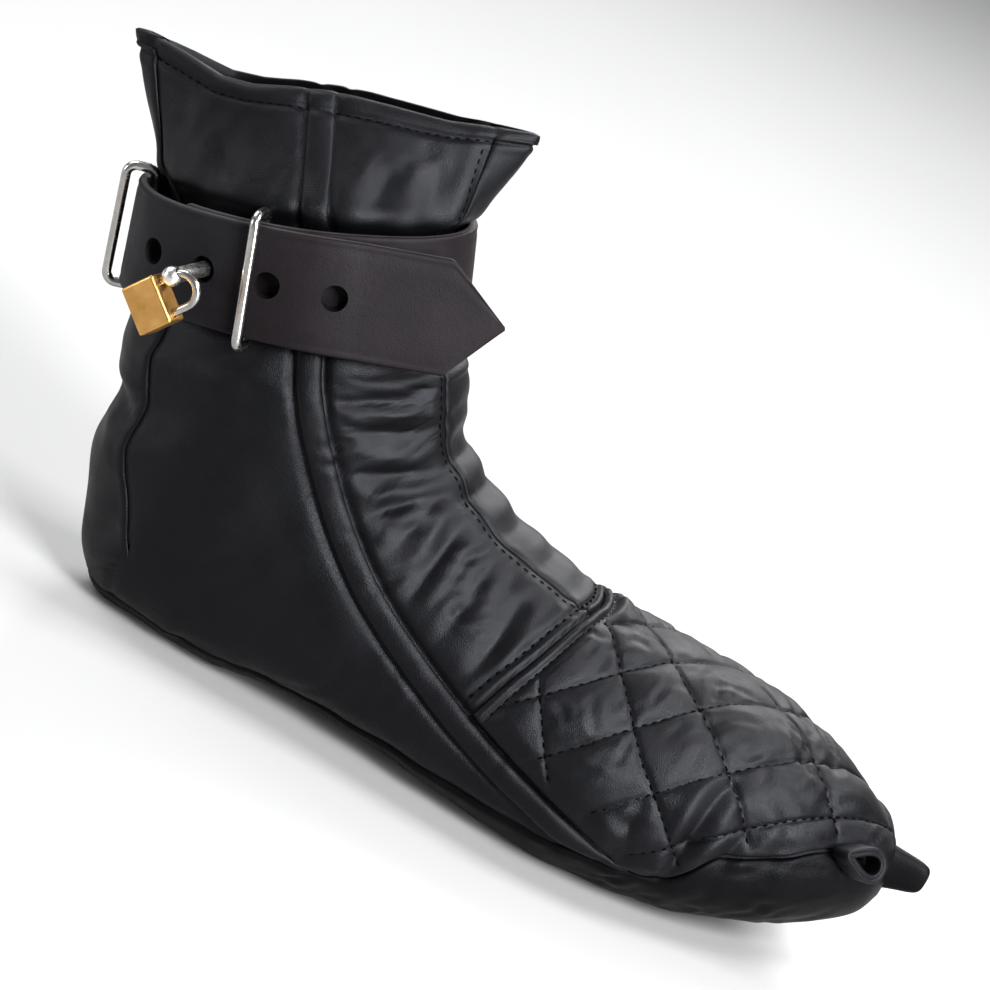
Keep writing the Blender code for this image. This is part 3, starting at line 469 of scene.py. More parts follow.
def relief(place, turn):
    """How far soft leather stands in or out at a point: creases, slow waves and the pinch of the strap."""
    points = around(place, turn)
    height = np.zeros(points.shape[:-1])
    for way, phase, size in WAVES:
        height += size * np.sin(points @ way + phase)
    for line, half, depth in CREASE_LINES:
        far, along = nearest(points, line, 4.6 * half)
        taper = np.clip(np.sin(math.pi * np.clip(along, 0.02, 0.98)), 0, 1) ** 0.6
        trough = np.exp(-(far / half) ** 1.5)
        height += depth * taper * (0.45 * bell(far, 2.1 * half, 0.95 * half) - trough)
    height += humps(place, STRAP_BULGES)
    lap = way_round(place, turn)
    pleat = np.sin(lap * 2 * math.pi / 17 + 2.2 * np.sin(lap / 23))
    height += 0.35 * pleat * bell(place, STRAP_HIGH + 6, 9)
    return height * step_up(LAST - np.asarray(place, float), 0, 5)


def placed(place, turn, grow=0.0, extra=0.0):
    """Points on the boot with grow, the leather's relief and an extra height."""
    out = directions(place, turn)[2]
    return around(place, turn, grow) + out * (relief(place, turn) + extra)[..., None]


def linked(name, data):
    made = bpy.data.objects.new(name, data)
    bpy.context.scene.collection.objects.link(made)
    return made


def finished(name, mesh, surface, nodes, sharp=None, body="boot"):
    """Names a piece, sets its material, and joins it to the frame. Edges over the sharp angle stay crisp."""
    mesh.name = name
    if not mesh.materials:
        mesh.materials.append(surface)
    mesh.polygons.foreach_set("use_smooth", [True] * len(mesh.polygons))
    if sharp:
        mesh.set_sharp_from_angle(angle=math.radians(sharp))
    made = linked(name, mesh)
    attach(made, body)
    if nodes:
        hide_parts(*nodes)
    return made


def mesh_from(points, faces):
    """Mesh of points in millimetres, with its faces turned outward."""
    mesh = bpy.data.meshes.new("piece")
    mesh.from_pydata((np.asarray(points).reshape(-1, 3) * MM).tolist(), [], faces)
    body = bmesh.new()
    body.from_mesh(mesh)
    bmesh.ops.recalc_face_normals(body, faces=body.faces)
    body.to_mesh(mesh)
    body.free()
    mesh.update()
    return mesh


def grid_faces(rows, columns, start=0, round_columns=False):
    """Quads of a grid of points, the last column joined to the first if it is round."""
    across = columns if round_columns else columns - 1
    low, j = np.meshgrid(np.arange(rows - 1) * columns, np.arange(across), indexing="ij")
    high = low + columns
    j2 = (j + 1) % columns
    quads = np.stack([low + j, high + j, high + j2, low + j2], axis=-1)
    return (quads.reshape(-1, 4) + start).tolist()


def sheet_mesh(top, low):
    """A closed sheet between two grids of the same size."""
    rows, columns = top.shape[:2]
    count = rows * columns
    faces = grid_faces(rows, columns) + [face[::-1] for face in grid_faces(rows, columns, count)]
    rim = list(range(columns)) + [i * columns + columns - 1 for i in range(1, rows)]
    rim += [(rows - 1) * columns + j for j in range(columns - 2, -1, -1)]
    rim += [i * columns for i in range(rows - 2, 0, -1)]
    faces += [(a, b, b + count, a + count) for a, b in zip(rim, rim[1:] + rim[:1])]
    return mesh_from(np.concatenate([top.reshape(-1, 3), low.reshape(-1, 3)]), faces)


def loft(rings, closed=False):
    """A skin over a row of rings of points, with a flat cap at each end unless it closes on itself."""
    rings = np.asarray(rings)
    rows, sides = rings.shape[:2]
    faces = grid_faces(rows, sides, round_columns=True)
    if not closed:
        faces += [tuple(range(sides)), tuple(range((rows - 1) * sides, rows * sides))]
    return mesh_from(rings, faces)


def tube_mesh(path, radius, sides, closed):
    """A round wire along a path."""
    path = np.asarray(path, float)
    ahead = np.roll(path, -1, axis=0) - np.roll(path, 1, axis=0)
    if not closed:
        ahead[0] = path[1] - path[0]
        ahead[-1] = path[-1] - path[-2]
    ahead = unit(ahead)
    cos, sin = circle(sides)
    normal = np.cross(ahead[0], (0.31, 0.52, 0.79))
    rings = []
    for here, way in zip(path, ahead):
        normal = unit(normal - way * np.dot(normal, way))
        rings.append(here + radius * (np.outer(cos, normal) + np.outer(sin, np.cross(way, normal))))
    if closed:
        turned = [np.roll(rings[0], -k, axis=0) for k in range(sides)]
        spans = [np.linalg.norm(ring - rings[-1], axis=1).sum() for ring in turned]
        rings.append(turned[int(np.argmin(spans))])
    return loft(rings, closed)


def lathe_mesh(profile, origin, axis, sides):
    """A turned solid: profile rows are distance along the axis and radius."""
    first = unit(np.cross(axis, (0.21, 0.43, 0.88)))
    cos, sin = circle(sides)
    spokes = np.outer(cos, first) + np.outer(sin, np.cross(axis, first))
    return loft([origin + axis * reach + radius * spokes for reach, radius in profile])


def rounded_box(half_a, half_b, corner, steps):
    """Points round a rectangle with rounded corners."""
    points = []
    for sign_a, sign_b, start in ((1, 1, 0), (1, -1, 90), (-1, -1, 180), (-1, 1, 270)):
        for step in range(steps + 1):
            angle = math.radians(start + step * 90 / steps)
            points.append((sign_a * (half_a - corner) + corner * math.sin(angle),
                           sign_b * (half_b - corner) + corner * math.cos(angle)))
    return points


def squared_circle(count, power):
    """Circle with its sides flattened, for powers under 1, or drawn in, for powers over 1."""
    return (np.copysign(np.abs(values) ** power, values) for values in circle(count))


def cut_holes(mesh, holes):
    """Cut round holes through a mesh: rows of start, end and diameter."""
    scratch = linked("scratch", mesh)
    cutters = []
    for start, end, diameter in holes:
        run = end - start
        length = np.linalg.norm(run)
        profile = ((0, diameter / 2), (length, diameter / 2))
        cutter = linked("cutter", lathe_mesh(profile, start, run / length, 40))
        change = scratch.modifiers.new("hole", "BOOLEAN")
        change.operation = "DIFFERENCE"
        change.solver = "EXACT"
        change.object = cutter
        cutters.append(cutter)
    bpy.context.view_layer.update()
    ready = scratch.evaluated_get(bpy.context.evaluated_depsgraph_get())
    result = bpy.data.meshes.new_from_object(ready)
    for old_object in cutters + [scratch]:
        bpy.data.objects.remove(old_object, do_unlink=True)
    return result


class Nodes:
    """Short way to build a material from nodes. A socket takes a constant or another node's output."""

    def __init__(self, name):
        self.made = bpy.data.materials.new(name)
        self.made.use_nodes = True
        self.tree = self.made.node_tree
        self.space = self.add("TexCoord", {}, "Object")

    def fill(self, node, values):
        for key, value in values.items():
            if isinstance(value, bpy.types.NodeSocket):
                self.tree.links.new(value, node.inputs[key])
            else:
                node.inputs[key].default_value = value

    def add(self, kind, values, output, **settings):
        node = self.tree.nodes.new("ShaderNode" + kind)
        for key, value in settings.items():
            setattr(node, key, value)
        self.fill(node, values)
        return node.outputs[output]

    def shade(self, values):
        self.fill(self.tree.nodes["Principled BSDF"], values)
        return self.made

    def noise(self, scale, detail, rough=0.55, stretch=None):
        space = self.space
        if stretch:
            space = self.add("Mapping", {"Vector": space, "Scale": stretch}, "Vector")
        values = {"Vector": space, "Scale": scale, "Detail": detail, "Roughness": rough}
        return self.add("TexNoise", values, "Fac")

    def cells(self, scale):
        values = {"Vector": self.space, "Scale": scale}
        return self.add("TexVoronoi", values, "Distance", feature="DISTANCE_TO_EDGE")

    def scaled(self, source, low, high, new_low, new_high):
        values = {"Value": source, "From Min": low, "From Max": high, "To Min": new_low, "To Max": new_high}
        return self.add("MapRange", values, "Result")

    def math(self, operation, first, second):
        return self.add("Math", {0: first, 1: second}, "Value", operation=operation)

    def colours(self, factor, dark_at, dark, light_at, light):
        result = self.add("ValToRGB", {"Fac": factor}, "Color")
        ends = result.node.color_ramp.elements
        for element, place, colour in zip(ends, (dark_at, light_at), (dark, light)):
            element.position = place
            element.color = (*colour, 1)
        return result

    def blend(self, factor, first, second):
        return self.add("Mix", {0: factor, 6: first, 7: second}, 2, data_type="RGBA")

    def bump(self, height, distance, strength, below=None):
        values = {"Strength": strength, "Distance": distance, "Height": height}
        if below is not None:
            values["Normal"] = below
        return self.add("Bump", values, "Normal")


def leather(name, dark, light, rough, grain, grain_depth, wrinkle, shine, rear=None):
    """Fine-grained leather with slow changes of colour and gloss and small wrinkles.
    Rear is a second pair of colours, for the part nearer the heel."""
    n = Nodes(name)
    patch = n.noise(38, 5)
    colour = n.colours(patch, 0.30, dark, 0.72, light)
    if rear:
        forward = n.scaled(n.add("SeparateXYZ", {"Vector": n.space}, "X"), *REAR_FADE, 0, 1)
        colour = n.blend(forward, n.colours(patch, 0.30, rear[0], 0.72, rear[1]), colour)
    pores = n.scaled(n.cells(grain), 0, 0.22, 0, 1)
    fine = n.math("ADD", n.math("MULTIPLY", pores, 0.6), n.math("MULTIPLY", n.noise(grain * 1.7, 3), 0.5))
    folds = n.bump(n.noise(150, 7, 0.62), 0.0012, wrinkle)
    return n.shade({
        "Base Color": colour,
        "Roughness": n.math("ADD", n.scaled(n.noise(90, 6), 0.3, 0.7, -0.07, 0.07), rough),
        "Normal": n.bump(fine, 0.00022, grain_depth, folds),
        "Specular IOR Level": shine,
        "Specular Tint": (0.88, 0.90, 1, 1),
    })


def metal(name, colour, light, rough, brushed):
    """Bright metal with fine brush lines and a little wear."""
    n = Nodes(name)
    lines = n.noise(420, 4, 0.6, brushed)
    return n.shade({
        "Metallic": 1.0,
        "Base Color": n.colours(n.noise(160, 6), 0.3, colour, 0.7, light),
        "Roughness": n.math("ADD", n.scaled(lines, 0.3, 0.7, -0.06, 0.09), rough),
        "Normal": n.bump(lines, 0.00008, 0.25),
    })


# Materials: leathers have dark and light colour, roughness, grain and its depth, wrinkle and shine,
# metals dark and light colour, roughness and the stretch of their brush lines
NAPPA = leather("nappa_leather", (0.0004, 0.0004, 0.0006), (0.0010, 0.0010, 0.0014),
                0.45, 1500, 0.34, 0.13, 0.125)
CAP_NAPPA = leather("cap_leather", (0.0004, 0.0004, 0.0006), (0.0011, 0.0011, 0.0015),
                    0.45, 1400, 0.34, 0.14, 0.130)
SOLE_SKIN = leather("sole_leather", (0.0005, 0.0005, 0.0006), (0.0012, 0.0012, 0.0014),
                    0.45, 1100, 0.32, 0.16, 0.050)
STRAP_HIDE = leather("strap_leather", (0.0036, 0.0026, 0.0030), (0.0070, 0.0052, 0.0058),
                     0.50, 1500, 0.26, 0.18, 0.075, ((0.0042, 0.0041, 0.0050), (0.0082, 0.0081, 0.0098)))
# The strap's cut edges are lighter. This is partly the raw edge's own colour and wear, and partly a painted
# highlight along the edges.
STRAP_EDGE_AND_HIGHLIGHT = leather("strap_cut_edge_and_highlight", (0.016, 0.0145, 0.0150), (0.034, 0.031, 0.032),
                     0.58, 1500, 0.30, 0.20, 0.20)
LINING_SKIN = leather("lining_leather", (0.003, 0.003, 0.0034), (0.006, 0.006, 0.0066),
                      0.72, 1200, 0.30, 0.16, 0.08)
THREAD = leather("black_thread", (0.0003, 0.0003, 0.0004), (0.0007, 0.0007, 0.0008),
                 0.70, 2400, 0.40, 0.10, 0.02)
# The stud is the same steel as the rings, in a lighter copy: painted light, standing in for the light the
# stud misses in its shade and dark reflections here.
STUD_STEEL_PAINTED_LIGHT = metal("stud_steel_painted_light", (0.58, 0.57, 0.55), (0.76, 0.75, 0.73), 0.26, (1, 1, 6))
STEEL = metal("nickel_wire", (0.27, 0.262, 0.25), (0.44, 0.425, 0.405), 0.20, (1, 1, 6))
BRASS = metal("brushed_brass", (0.40, 0.205, 0.055), (0.56, 0.315, 0.105), 0.34, (1, 9, 1))


# Paths of the seams
def spot(x, z):
    """Place and share of the point on the boot's side that is seen at x and z."""
    places = np.linspace(60, LAST, 860)
    rows = curve(KNOTS, ROWS, places)
    off = (rows[:, 0] - rows[:, 2]) * (z - rows[:, 3]) - (rows[:, 1] - rows[:, 3]) * (x - rows[:, 2])
    low = np.flatnonzero(off[:-1] * off[1:] <= 0)[0]
    place = places[low] + (places[1] - places[0]) * off[low] / (off[low] - off[low + 1])
    points, push, run = loop(curve(KNOTS, ROWS, place))
    return place, np.interp(-z, -points[:, 2], run) / run[-1]


STRIP_RUN = running(SIDE_STRIP)
STRIP_MIDDLE = curve(STRIP_RUN, SIDE_STRIP, np.linspace(0, STRIP_RUN[-1], 120))
STRIP_SPOTS = np.array([spot(x, z) for x, z in STRIP_MIDDLE])


def side_share(place):
    return np.interp(place, STRIP_SPOTS[:, 0], STRIP_SPOTS[:, 1])


def strip_half(place):
    """Half width of the side strip, narrow where it runs into the sole's seam."""
    return SIDE_STRIP_HALF * (0.25 + 0.75 * step_up(place, STRIP_FIRST, STRIP_FIRST + 30))


def strip_flat(place):
    """How full the side strip is: 1 along the foot, less up the collar."""
    return 1 - 0.62 * step_up(place, 425, 455)


def cap_limit(place):
    """Lowest share of the girth that the toe cap covers: the sole's seam, then the side strip."""
    place = np.asarray(place, float)
    seam = seam_share(place) - 1.2 / girth(place)
    later = np.maximum(place, STRIP_FIRST)
    strip = side_share(later) - (strip_half(later) + 1.3) / girth(later)
    ease = step_up(place, STRIP_FIRST, STRIP_FIRST + 12)
    return seam * (1 - ease) + np.minimum(seam, strip) * ease


def cap_rear(part):
    """Place of the toe cap's rear edge: part is 0 on the crown line and 1 at the cap's lower edge."""
    return smooth(CAP_REAR, part * CAP_REAR[-1][0])


def cap_past(place, turn):
    """How far a point lies behind the toe cap's rear edge."""
    return place - cap_rear(np.clip(np.abs(turn) / cap_limit(place), 0, 1))


def cap_seam(place, turn):
    """The ridge and the stitched groove behind the toe cap."""
    seam = humps(cap_past(place, turn), CAP_SEAM_HUMPS)
    return seam * step_up((cap_limit(place) - np.abs(turn)) * girth(place), -2, 4)


def beside(place, turn, offset):
    """Moves points of a path on the surface sideways by offset millimetres."""
    ahead, down, out = directions(place, turn)
    run = np.gradient(around(place, turn), axis=0)
    cross = np.cross(out, unit(run - out * np.sum(run * out, axis=-1, keepdims=True)))
    pairs = ((ahead, ahead), (ahead, down), (down, down), (ahead, cross), (down, cross))
    aa, ad, dd, ac, dc = (np.sum(first * second, axis=-1)[:, None] for first, second in pairs)
    det = aa * dd - ad * ad
    place_step = (ac * dd - dc * ad) / det * offset
    turn_step = (dc * aa - ac * ad) / det * offset
    return place[:, None] + place_step, turn[:, None] + turn_step


STRIP_PLACES = np.linspace(STRIP_FIRST, LAST - 0.8, 372)
STRIP_LINES = [around(STRIP_PLACES, side * side_share(STRIP_PLACES)) for side in (-1, 1)]
HEEL_TAIL = np.linspace(0, 1, 24)
HEEL_TAIL_PLACES = HEEL_END + 6 - 17 * HEEL_TAIL
HEEL_TAIL_SHARES = (1 - 37.5 / girth(HEEL_END)) * (1 - HEEL_TAIL) + seam_share(HEEL_END - 11) * HEEL_TAIL
HEEL_LINES = [around(HEEL_TAIL_PLACES, side * HEEL_TAIL_SHARES) for side in (-1, 1)]
CAP_PARTS = np.linspace(-1, 1, 181)
CAP_REAR_PLACES = cap_rear(np.abs(CAP_PARTS))
CAP_REAR_TURNS = CAP_PARTS * cap_limit(CAP_REAR_PLACES)


# Upper
def rim_roll(place):
    """The turned edge of the collar: a soft roll, then the groove that its stitches pull in."""
    from_rim = LAST - np.asarray(place, float)
    roll = np.sqrt(np.clip(1 - ((from_rim - 2.9) / 3.6) ** 2, 0, 1))
    return 0.95 * roll + humps(from_rim, RIM_HUMPS)


def upper_extra(place, turn):
    """Seams of the upper: grooves beside strips and heel panel, the ridge behind the toe cap, the rim."""
    points = around(place, turn)
    height = cap_seam(place, turn) + rim_roll(place)
    for line in STRIP_LINES:
        far = nearest(points, line)[0]
        height = height + 0.35 * bell(far, 12, 5) - 1.5 * strip_flat(place) * bell(far, 4.9, 1.5)
    lap = way_round(place, turn)
    height = height + humps(lap - smooth(INSTEP_STRIP, place), INSTEP_HUMPS) * (place > 153)
    for line in HEEL_LINES:
        height = height - 0.6 * bell(nearest(points, line)[0], 0, 1.2)
    back = girth(place) - lap - smooth(HEEL_PANEL, place)
    return height - 0.7 * bell(back, 0, 1.4) * step_up(place, 292, 298)


def build_upper():
    cells, lower = 96, 30
    half = cells + lower
    places = np.concatenate([np.arange(0, 138, 4), np.linspace(140, HEEL_END, 116),
                             np.linspace(HEEL_END, LAST - 0.6, 150)[1:], [LAST, LAST, LAST - 0.6, LAST - 9]])
    grows = np.zeros((len(places), 1))
    grows[-4:, 0] = (-0.45, -1.55, -2.0, -2.25)
    heel = int(np.flatnonzero(places >= HEEL_END - 0.01)[0])
    columns = np.arange(-half, half)
    ease = np.clip((places - HEEL_END) / 60, 0, 1)
    later = seam_share(HEEL_END) * (1 - ease) + ease * cells / half
    splits = np.where(places <= HEEL_END + 0.01, seam_share(places), later)[:, None]
    level = np.abs(columns)
    shares = np.where(level <= cells, splits * level / cells, splits + (1 - splits) * (level - cells) / lower)
    turns = shares * np.where(columns < 0, -1, 1)
    place_grid = np.broadcast_to(places[:, None], turns.shape)
    pinch = (splits - shares) * girth(places)[:, None]
    open_row = (np.arange(len(places)) <= heel)[:, None]
    pull = 0.7 - 0.5 * step_up(places, 190, 262)[:, None]
    past_heel = np.maximum(places - HEEL_END, 0)[:, None]
    extra = upper_extra(place_grid, turns) - pull * bell(pinch, 0, 2.2) * open_row
    extra = extra - 0.2 * bell(past_heel, 0, 2) * ~open_row * step_up(shares, splits - 0.03, splits)
    grid = placed(place_grid, turns, grows, extra)
    faces = np.array(grid_faces(len(places), len(columns), round_columns=True))
    column_of = columns[faces[:, 0] % len(columns)]
    keep = (faces[:, 0] // len(columns) >= heel) | ((column_of >= -cells) & (column_of < cells))
    used, faces = np.unique(faces[keep], return_inverse=True)
    mesh = mesh_from(grid.reshape(-1, 3)[used], faces.reshape(-1, 4).tolist())
    finished("upper_leather", mesh, NAPPA, ["upper"])


def build_lining():
    places = np.linspace(2, LAST - 8, 150)
    turns = np.linspace(-1, 1, 97)[:-1]
    grid = placed(*np.meshgrid(places, turns, indexing="ij"), -UPPER_WALL - 0.1)
    finished("lining", loft(grid, True), LINING_SKIN, [])


def both_sides(shares):
    """Columns of one side from the edge to the base line, then those of the other side back to its edge."""
    return np.concatenate([shares, shares[:, -2::-1]], axis=1)


def under_turns(shares):
    """Turns of shares that run over both sides, the right-hand one first."""
    sides = np.where(np.arange(shares.shape[1]) <= shares.shape[1] // 2, -1, 1)
    return np.where(shares >= 1, 0.999999, shares) * sides


def build_sole():
    places = np.concatenate([np.linspace(0, 20, 22), np.linspace(20, HEEL_END - SEAM_GAP, 175)[1:]])
    part = np.concatenate([[0, 0, 0], np.linspace(0, 1, 62)])
    rim = np.concatenate([[-2.2, -1.4, -0.9], np.zeros(62)])
    start = (seam_share(places) + SEAM_GAP / girth(places))[:, None]
    shares = start + (1 - start) * part
    from_edge = (shares - start) * girth(places)[:, None]
    soft = step_up(places, 190, 262)[:, None]
    low_edge = -0.35 + 0.2 * soft
    proud = SOLE_PROUD - 0.65 * soft
    grow = np.where(np.arange(len(part)) < 3, rim, low_edge + (proud - low_edge) * rounded(from_edge, 3.2))
    heel_edge = (HEEL_END - SEAM_GAP - places)[:, None]
    grow = np.minimum(grow, low_edge + (proud - low_edge) * rounded(heel_edge, 3))
    shares = both_sides(shares)
    turns = under_turns(shares)
    place_grid = np.broadcast_to(places[:, None], turns.shape)
    lift = relief(place_grid, turns) * step_up(1 - shares, 0.03, 0.12)
    grid = around(place_grid, turns, both_sides(grow)) + directions(place_grid, turns)[2] * lift[..., None]
    grid[..., 2] = np.maximum(grid[..., 2], 0)
    faces = grid_faces(*grid.shape[:2]) + [tuple(range(grid.shape[1]))]
    finished("sole_skin", mesh_from(grid, faces), SOLE_SKIN, ["sole"])


def build_insole():
    places = np.linspace(45, 275, 90)
    edge = np.maximum(seam_share(places) + INSOLE_INSET / girth(places), INSOLE_EDGE)[:, None]
    turns = under_turns(both_sides(edge + (1 - edge) * np.linspace(0, 1, 21)))
    top, low = (around(places[:, None], turns, -INSOLE_LIFT - thick) for thick in (INSOLE_THICK, 0))
    finished("insole_sheet", sheet_mesh(top, low), LINING_SKIN, ["insole"])


# Toe cap and strips
def quilt_height(place, turn):
    """Puffs between the two families of quilting lines, which lie where a number of each family is whole."""
    down = -turn * girth(place)
    first = place + down + QUILT_BEND * np.maximum(0, QUILT_BEND_PLACE - place)
    first = np.interp(first, QUILT_A, np.arange(len(QUILT_A)))
    second = np.interp(place - down, QUILT_B, np.arange(len(QUILT_B)))
    a = np.abs(np.sin(math.pi * first))
    b = np.abs(np.sin(math.pi * second))
    mixed = np.sin(12.99 * np.floor(first) + 78.23 * np.floor(second)) * 437.5
    vary = 0.72 + 0.5 * (mixed - np.floor(mixed))
    return (a * b) ** 0.52 * vary - 0.24 * (np.exp(-(13 * a) ** 2) + np.exp(-(12 * b) ** 2))


def cap_height(place, turn):
    """Height of the quilted cap: puffs between the stitched lines, a plain band at the rear edge."""
    to_rear = -cap_past(place, turn)
    to_side = (cap_limit(place) - np.abs(turn)) * girth(place)
    inner = step_up(to_rear, 4, 9) * step_up(to_side, 1, 9) * step_up(place, 4, 16)
    height = 1 + QUILT_PUFF * quilt_height(place, turn) * inner + humps(to_rear, CAP_BAND_HUMPS)
    edge = np.minimum(rounded(np.maximum(to_rear, 0), 1.4), rounded(np.maximum(to_side, 0), 2.4))
    return 0.2 + height * edge


def build_toe_cap():
    place_grid = CAP_FRONT + (CAP_REAR_PLACES - CAP_FRONT) * np.linspace(0, 1, 236)[:, None]
    turns = CAP_PARTS * cap_limit(place_grid)
    top = placed(place_grid, turns, 0.3, cap_height(place_grid, turns) - 0.2)
    low = placed(place_grid, turns, 0.1)
    made = finished("quilted_toe_cap", sheet_mesh(top, low), CAP_NAPPA, ["toe_cap"])


def build_side_strip(name, node, side):
    turns = side * side_share(STRIP_PLACES)
    half = strip_half(STRIP_PLACES)
    parts = np.linspace(-1, 1, 15)
    place_grid, turn_grid = beside(STRIP_PLACES, turns, half[:, None] * parts)
    crown = np.sqrt(np.clip(1 - np.abs(parts / 1.03) ** 2.4, 0, 1))
    full = rounded(STRIP_PLACES - STRIP_FIRST, 6) * rounded(LAST - STRIP_PLACES, 1.5)
    full = full * strip_flat(STRIP_PLACES) * (0.45 + 0.55 * half / SIDE_STRIP_HALF)
    extra = -0.6 + 2.3 * crown * full[:, None] + np.maximum(rim_roll(place_grid), -0.4)
    top = placed(place_grid, turn_grid, 0.3, extra)
    low = placed(place_grid, turn_grid, -0.3, -0.6)
    finished(name, sheet_mesh(top, low), NAPPA, [node])


def build_centre_strip(name, node, rows, places, base, cells, thick):
    """A strip on the crown line (base 0) or up the back line (base 1), with rounded edges."""
    half = smooth(rows, places)[:, None]
    part = np.linspace(-1, 1, 2 * cells + 1)
    part = np.sign(part) * (1 - (1 - np.abs(part)) ** 1.5)
    turns = half / girth(places)[:, None] * part + base
    place_grid = np.broadcast_to(places[:, None], turns.shape)
    from_edge = (1 - np.abs(part)) * half
    first_end = rounded(places - places[0], 26 if base else 1)
    ends = np.minimum(first_end, rounded(places[-1] - places, 2))[:, None]
    height = (thick * rounded(from_edge, 1.8) + 0.12 * bell(from_edge, 2.2, 1.4)) * ends
    if not base:
        lag = place_grid - cap_past(place_grid, turns) - CAP_REAR[0][1]
        place_grid = place_grid + lag * step_up(places[0] + 40 - places, 0, 40)[:, None]
        height = height + cap_seam(place_grid, turns)
    top = placed(place_grid, turns, 0, height + rim_roll(place_grid) - 0.25)
    low = placed(place_grid, turns, 0, -0.9)
    finished(name, sheet_mesh(top, low), NAPPA, [node])


# Strap
def strap_gap(turn, layer):
    rows = np.array(STRAP_GAPS)
    return curve(rows[:, 0], rows[:, layer], np.asarray(turn, float) % 2)


def strap_shift(turn, layer):
    """The outer layer's free end slopes down: how far it has moved along the shaft."""
    reach = girth((STRAP_LOW + STRAP_HIGH) / 2)
    whole = (STRAP_DROOP_FROM - STRAP_LEAVES) * reach
    past = np.maximum(0, STRAP_DROOP_FROM - np.asarray(turn, float) % 2) * reach
    return -STRAP_DROOP * past * past / (2 * whole) * np.where(np.asarray(layer) == 1, 0, 1)


def strap_point(turn, level, lift, layer=1):
    """A point round the ankle: turn 0 is the front, 1 the back by the outside, 2 the front again.
    Level is 0 on the lower edge and 1 on the upper edge, and the strap is straight between them."""
    turn = np.asarray(turn, float)
    shift = strap_shift(turn, layer)
    low = around(STRAP_LOW + shift, -turn, lift)
    return low + (around(STRAP_HIGH + shift, -turn, lift) - low) * level


def strap_frame(turn, layer=2):
    """Point on the strap's inner face and its directions: forward along it, up across it, outward."""
    lift = float(strap_gap(turn, layer))
    here = strap_point(turn, 0.5, lift, layer)
    ahead = unit(strap_point(turn - 0.01, 0.5, lift, layer) - strap_point(turn + 0.01, 0.5, lift, layer))
    up = strap_point(turn, 1, lift, layer) - strap_point(turn, 0, lift, layer)
    up = unit(up - ahead * np.dot(up, ahead))
    return here, ahead, up, np.cross(ahead, up)


def build_strap():
    turns = np.concatenate([np.linspace(STRAP_START, -0.8, 150), np.linspace(-0.81, -2 + STRAP_LEAVES, 90)])
    ease = step_up(-turns, 0.70, 0.86)
    lift = strap_gap(turns, 1) * (1 - ease) + strap_gap(turns, 2) * ease
    layers = np.where(turns > -0.8, 1, 2)
    ahead = strap_frame(STRAP_LEAVES)[1]
    straight = STRAP_FREE - STRAP_POINT
    reach = np.concatenate([np.linspace(1.5, straight, 24), np.linspace(straight, STRAP_FREE, 22)[1:]])
    wide = np.concatenate([np.ones(len(turns)), np.clip((STRAP_FREE - reach) / STRAP_POINT + 0.03, 0.03, 1)])
    side = np.array([0.35, 0.6, 0.80, 0.86, 0.90, 0.95, 0.985, 1])
    levels = np.concatenate([-side[::-1], [0], side])
    from_edge = (1 - np.abs(levels)) * (STRAP_HIGH - STRAP_LOW) / 2
    ease_in = 0.85 * (1 - rounded(from_edge, 0.9))
    line = 0.28 * bell(from_edge, 2.3, 0.5)

    def edges(grown):
        """Lower edge, middle and upper edge of a face, on to the end of the free part."""
        found = np.stack([strap_point(turns, level, grown, layers) for level in (0, 0.5, 1)], axis=1)
        return np.concatenate([found, found[-1] + ahead * reach[:, None, None]])

    def face(rows, shift):
        centre = (rows[:, 0] + rows[:, 2])[:, None] / 2
        bend = rows[:, 1][:, None] - centre
        arm = (rows[:, 2] - rows[:, 0])[:, None] / 2
        across = levels[None, :, None] * wide[:, None, None]
        return centre + bend * (1 - levels ** 2)[None, :, None] + arm * across + shift

    middle_in = edges(lift)
    middle_out = edges(lift + STRAP_THICK)
    through = unit(middle_out[:, 1] - middle_in[:, 1])[:, None, :]
    slow = 0.10 * np.sin(np.arange(len(wide)) * 0.11)[:, None] * np.sin(levels * 2.3)
    outer = face(middle_out, through * (slow - ease_in - line)[..., None])
    inner = face(middle_in, through * ease_in[:, None])
    mesh = sheet_mesh(outer, inner)
    mesh.materials.append(STRAP_HIDE)
    mesh.materials.append(STRAP_EDGE_AND_HIGHLIGHT)
    broad = 2 * (outer.shape[0] - 1) * (outer.shape[1] - 1)
    # The edge faces get the lighter cut edge colour. It is partly the raw edge's colour and partly a painted
    # highlight.
    for polygon in mesh.polygons[broad:]:
        polygon.material_index = 1
    holes = []
    for share in STRAP_HOLES:
        here, ahead, up, out = strap_frame(share)
        holes.append((here - out * 3, here + out * 6, STRAP_HOLE))
    here, ahead, up, out = strap_frame(POST_SHARE)
    holes.append((here - out * 1.2, here + out * 6, STRAP_HOLE))
    holes.append((here - out * 5, here - out * 0.9, 2 * POST_RADIUS + 0.6))
    finished("ankle_strap_leather", cut_holes(mesh, holes), STRAP_HIDE, ["ankle_strap"], 50)


def build_rings():
    """Wire rings round the strap, each a rounded rectangle."""
    for name, node, share, height, low, high in RINGS:
        here, ahead, up, out = strap_frame(share)
        deep = (high - low) / 2
        box = rounded_box(deep, (height - RING_WIRE) / 2, min(RING_CORNER, deep - 0.01), 12)
        path = [here + out * ((low + high) / 2 + a) + up * b for a, b in box]
        finished(name, tube_mesh(path, RING_WIRE / 2, 28, True), STEEL, [node])


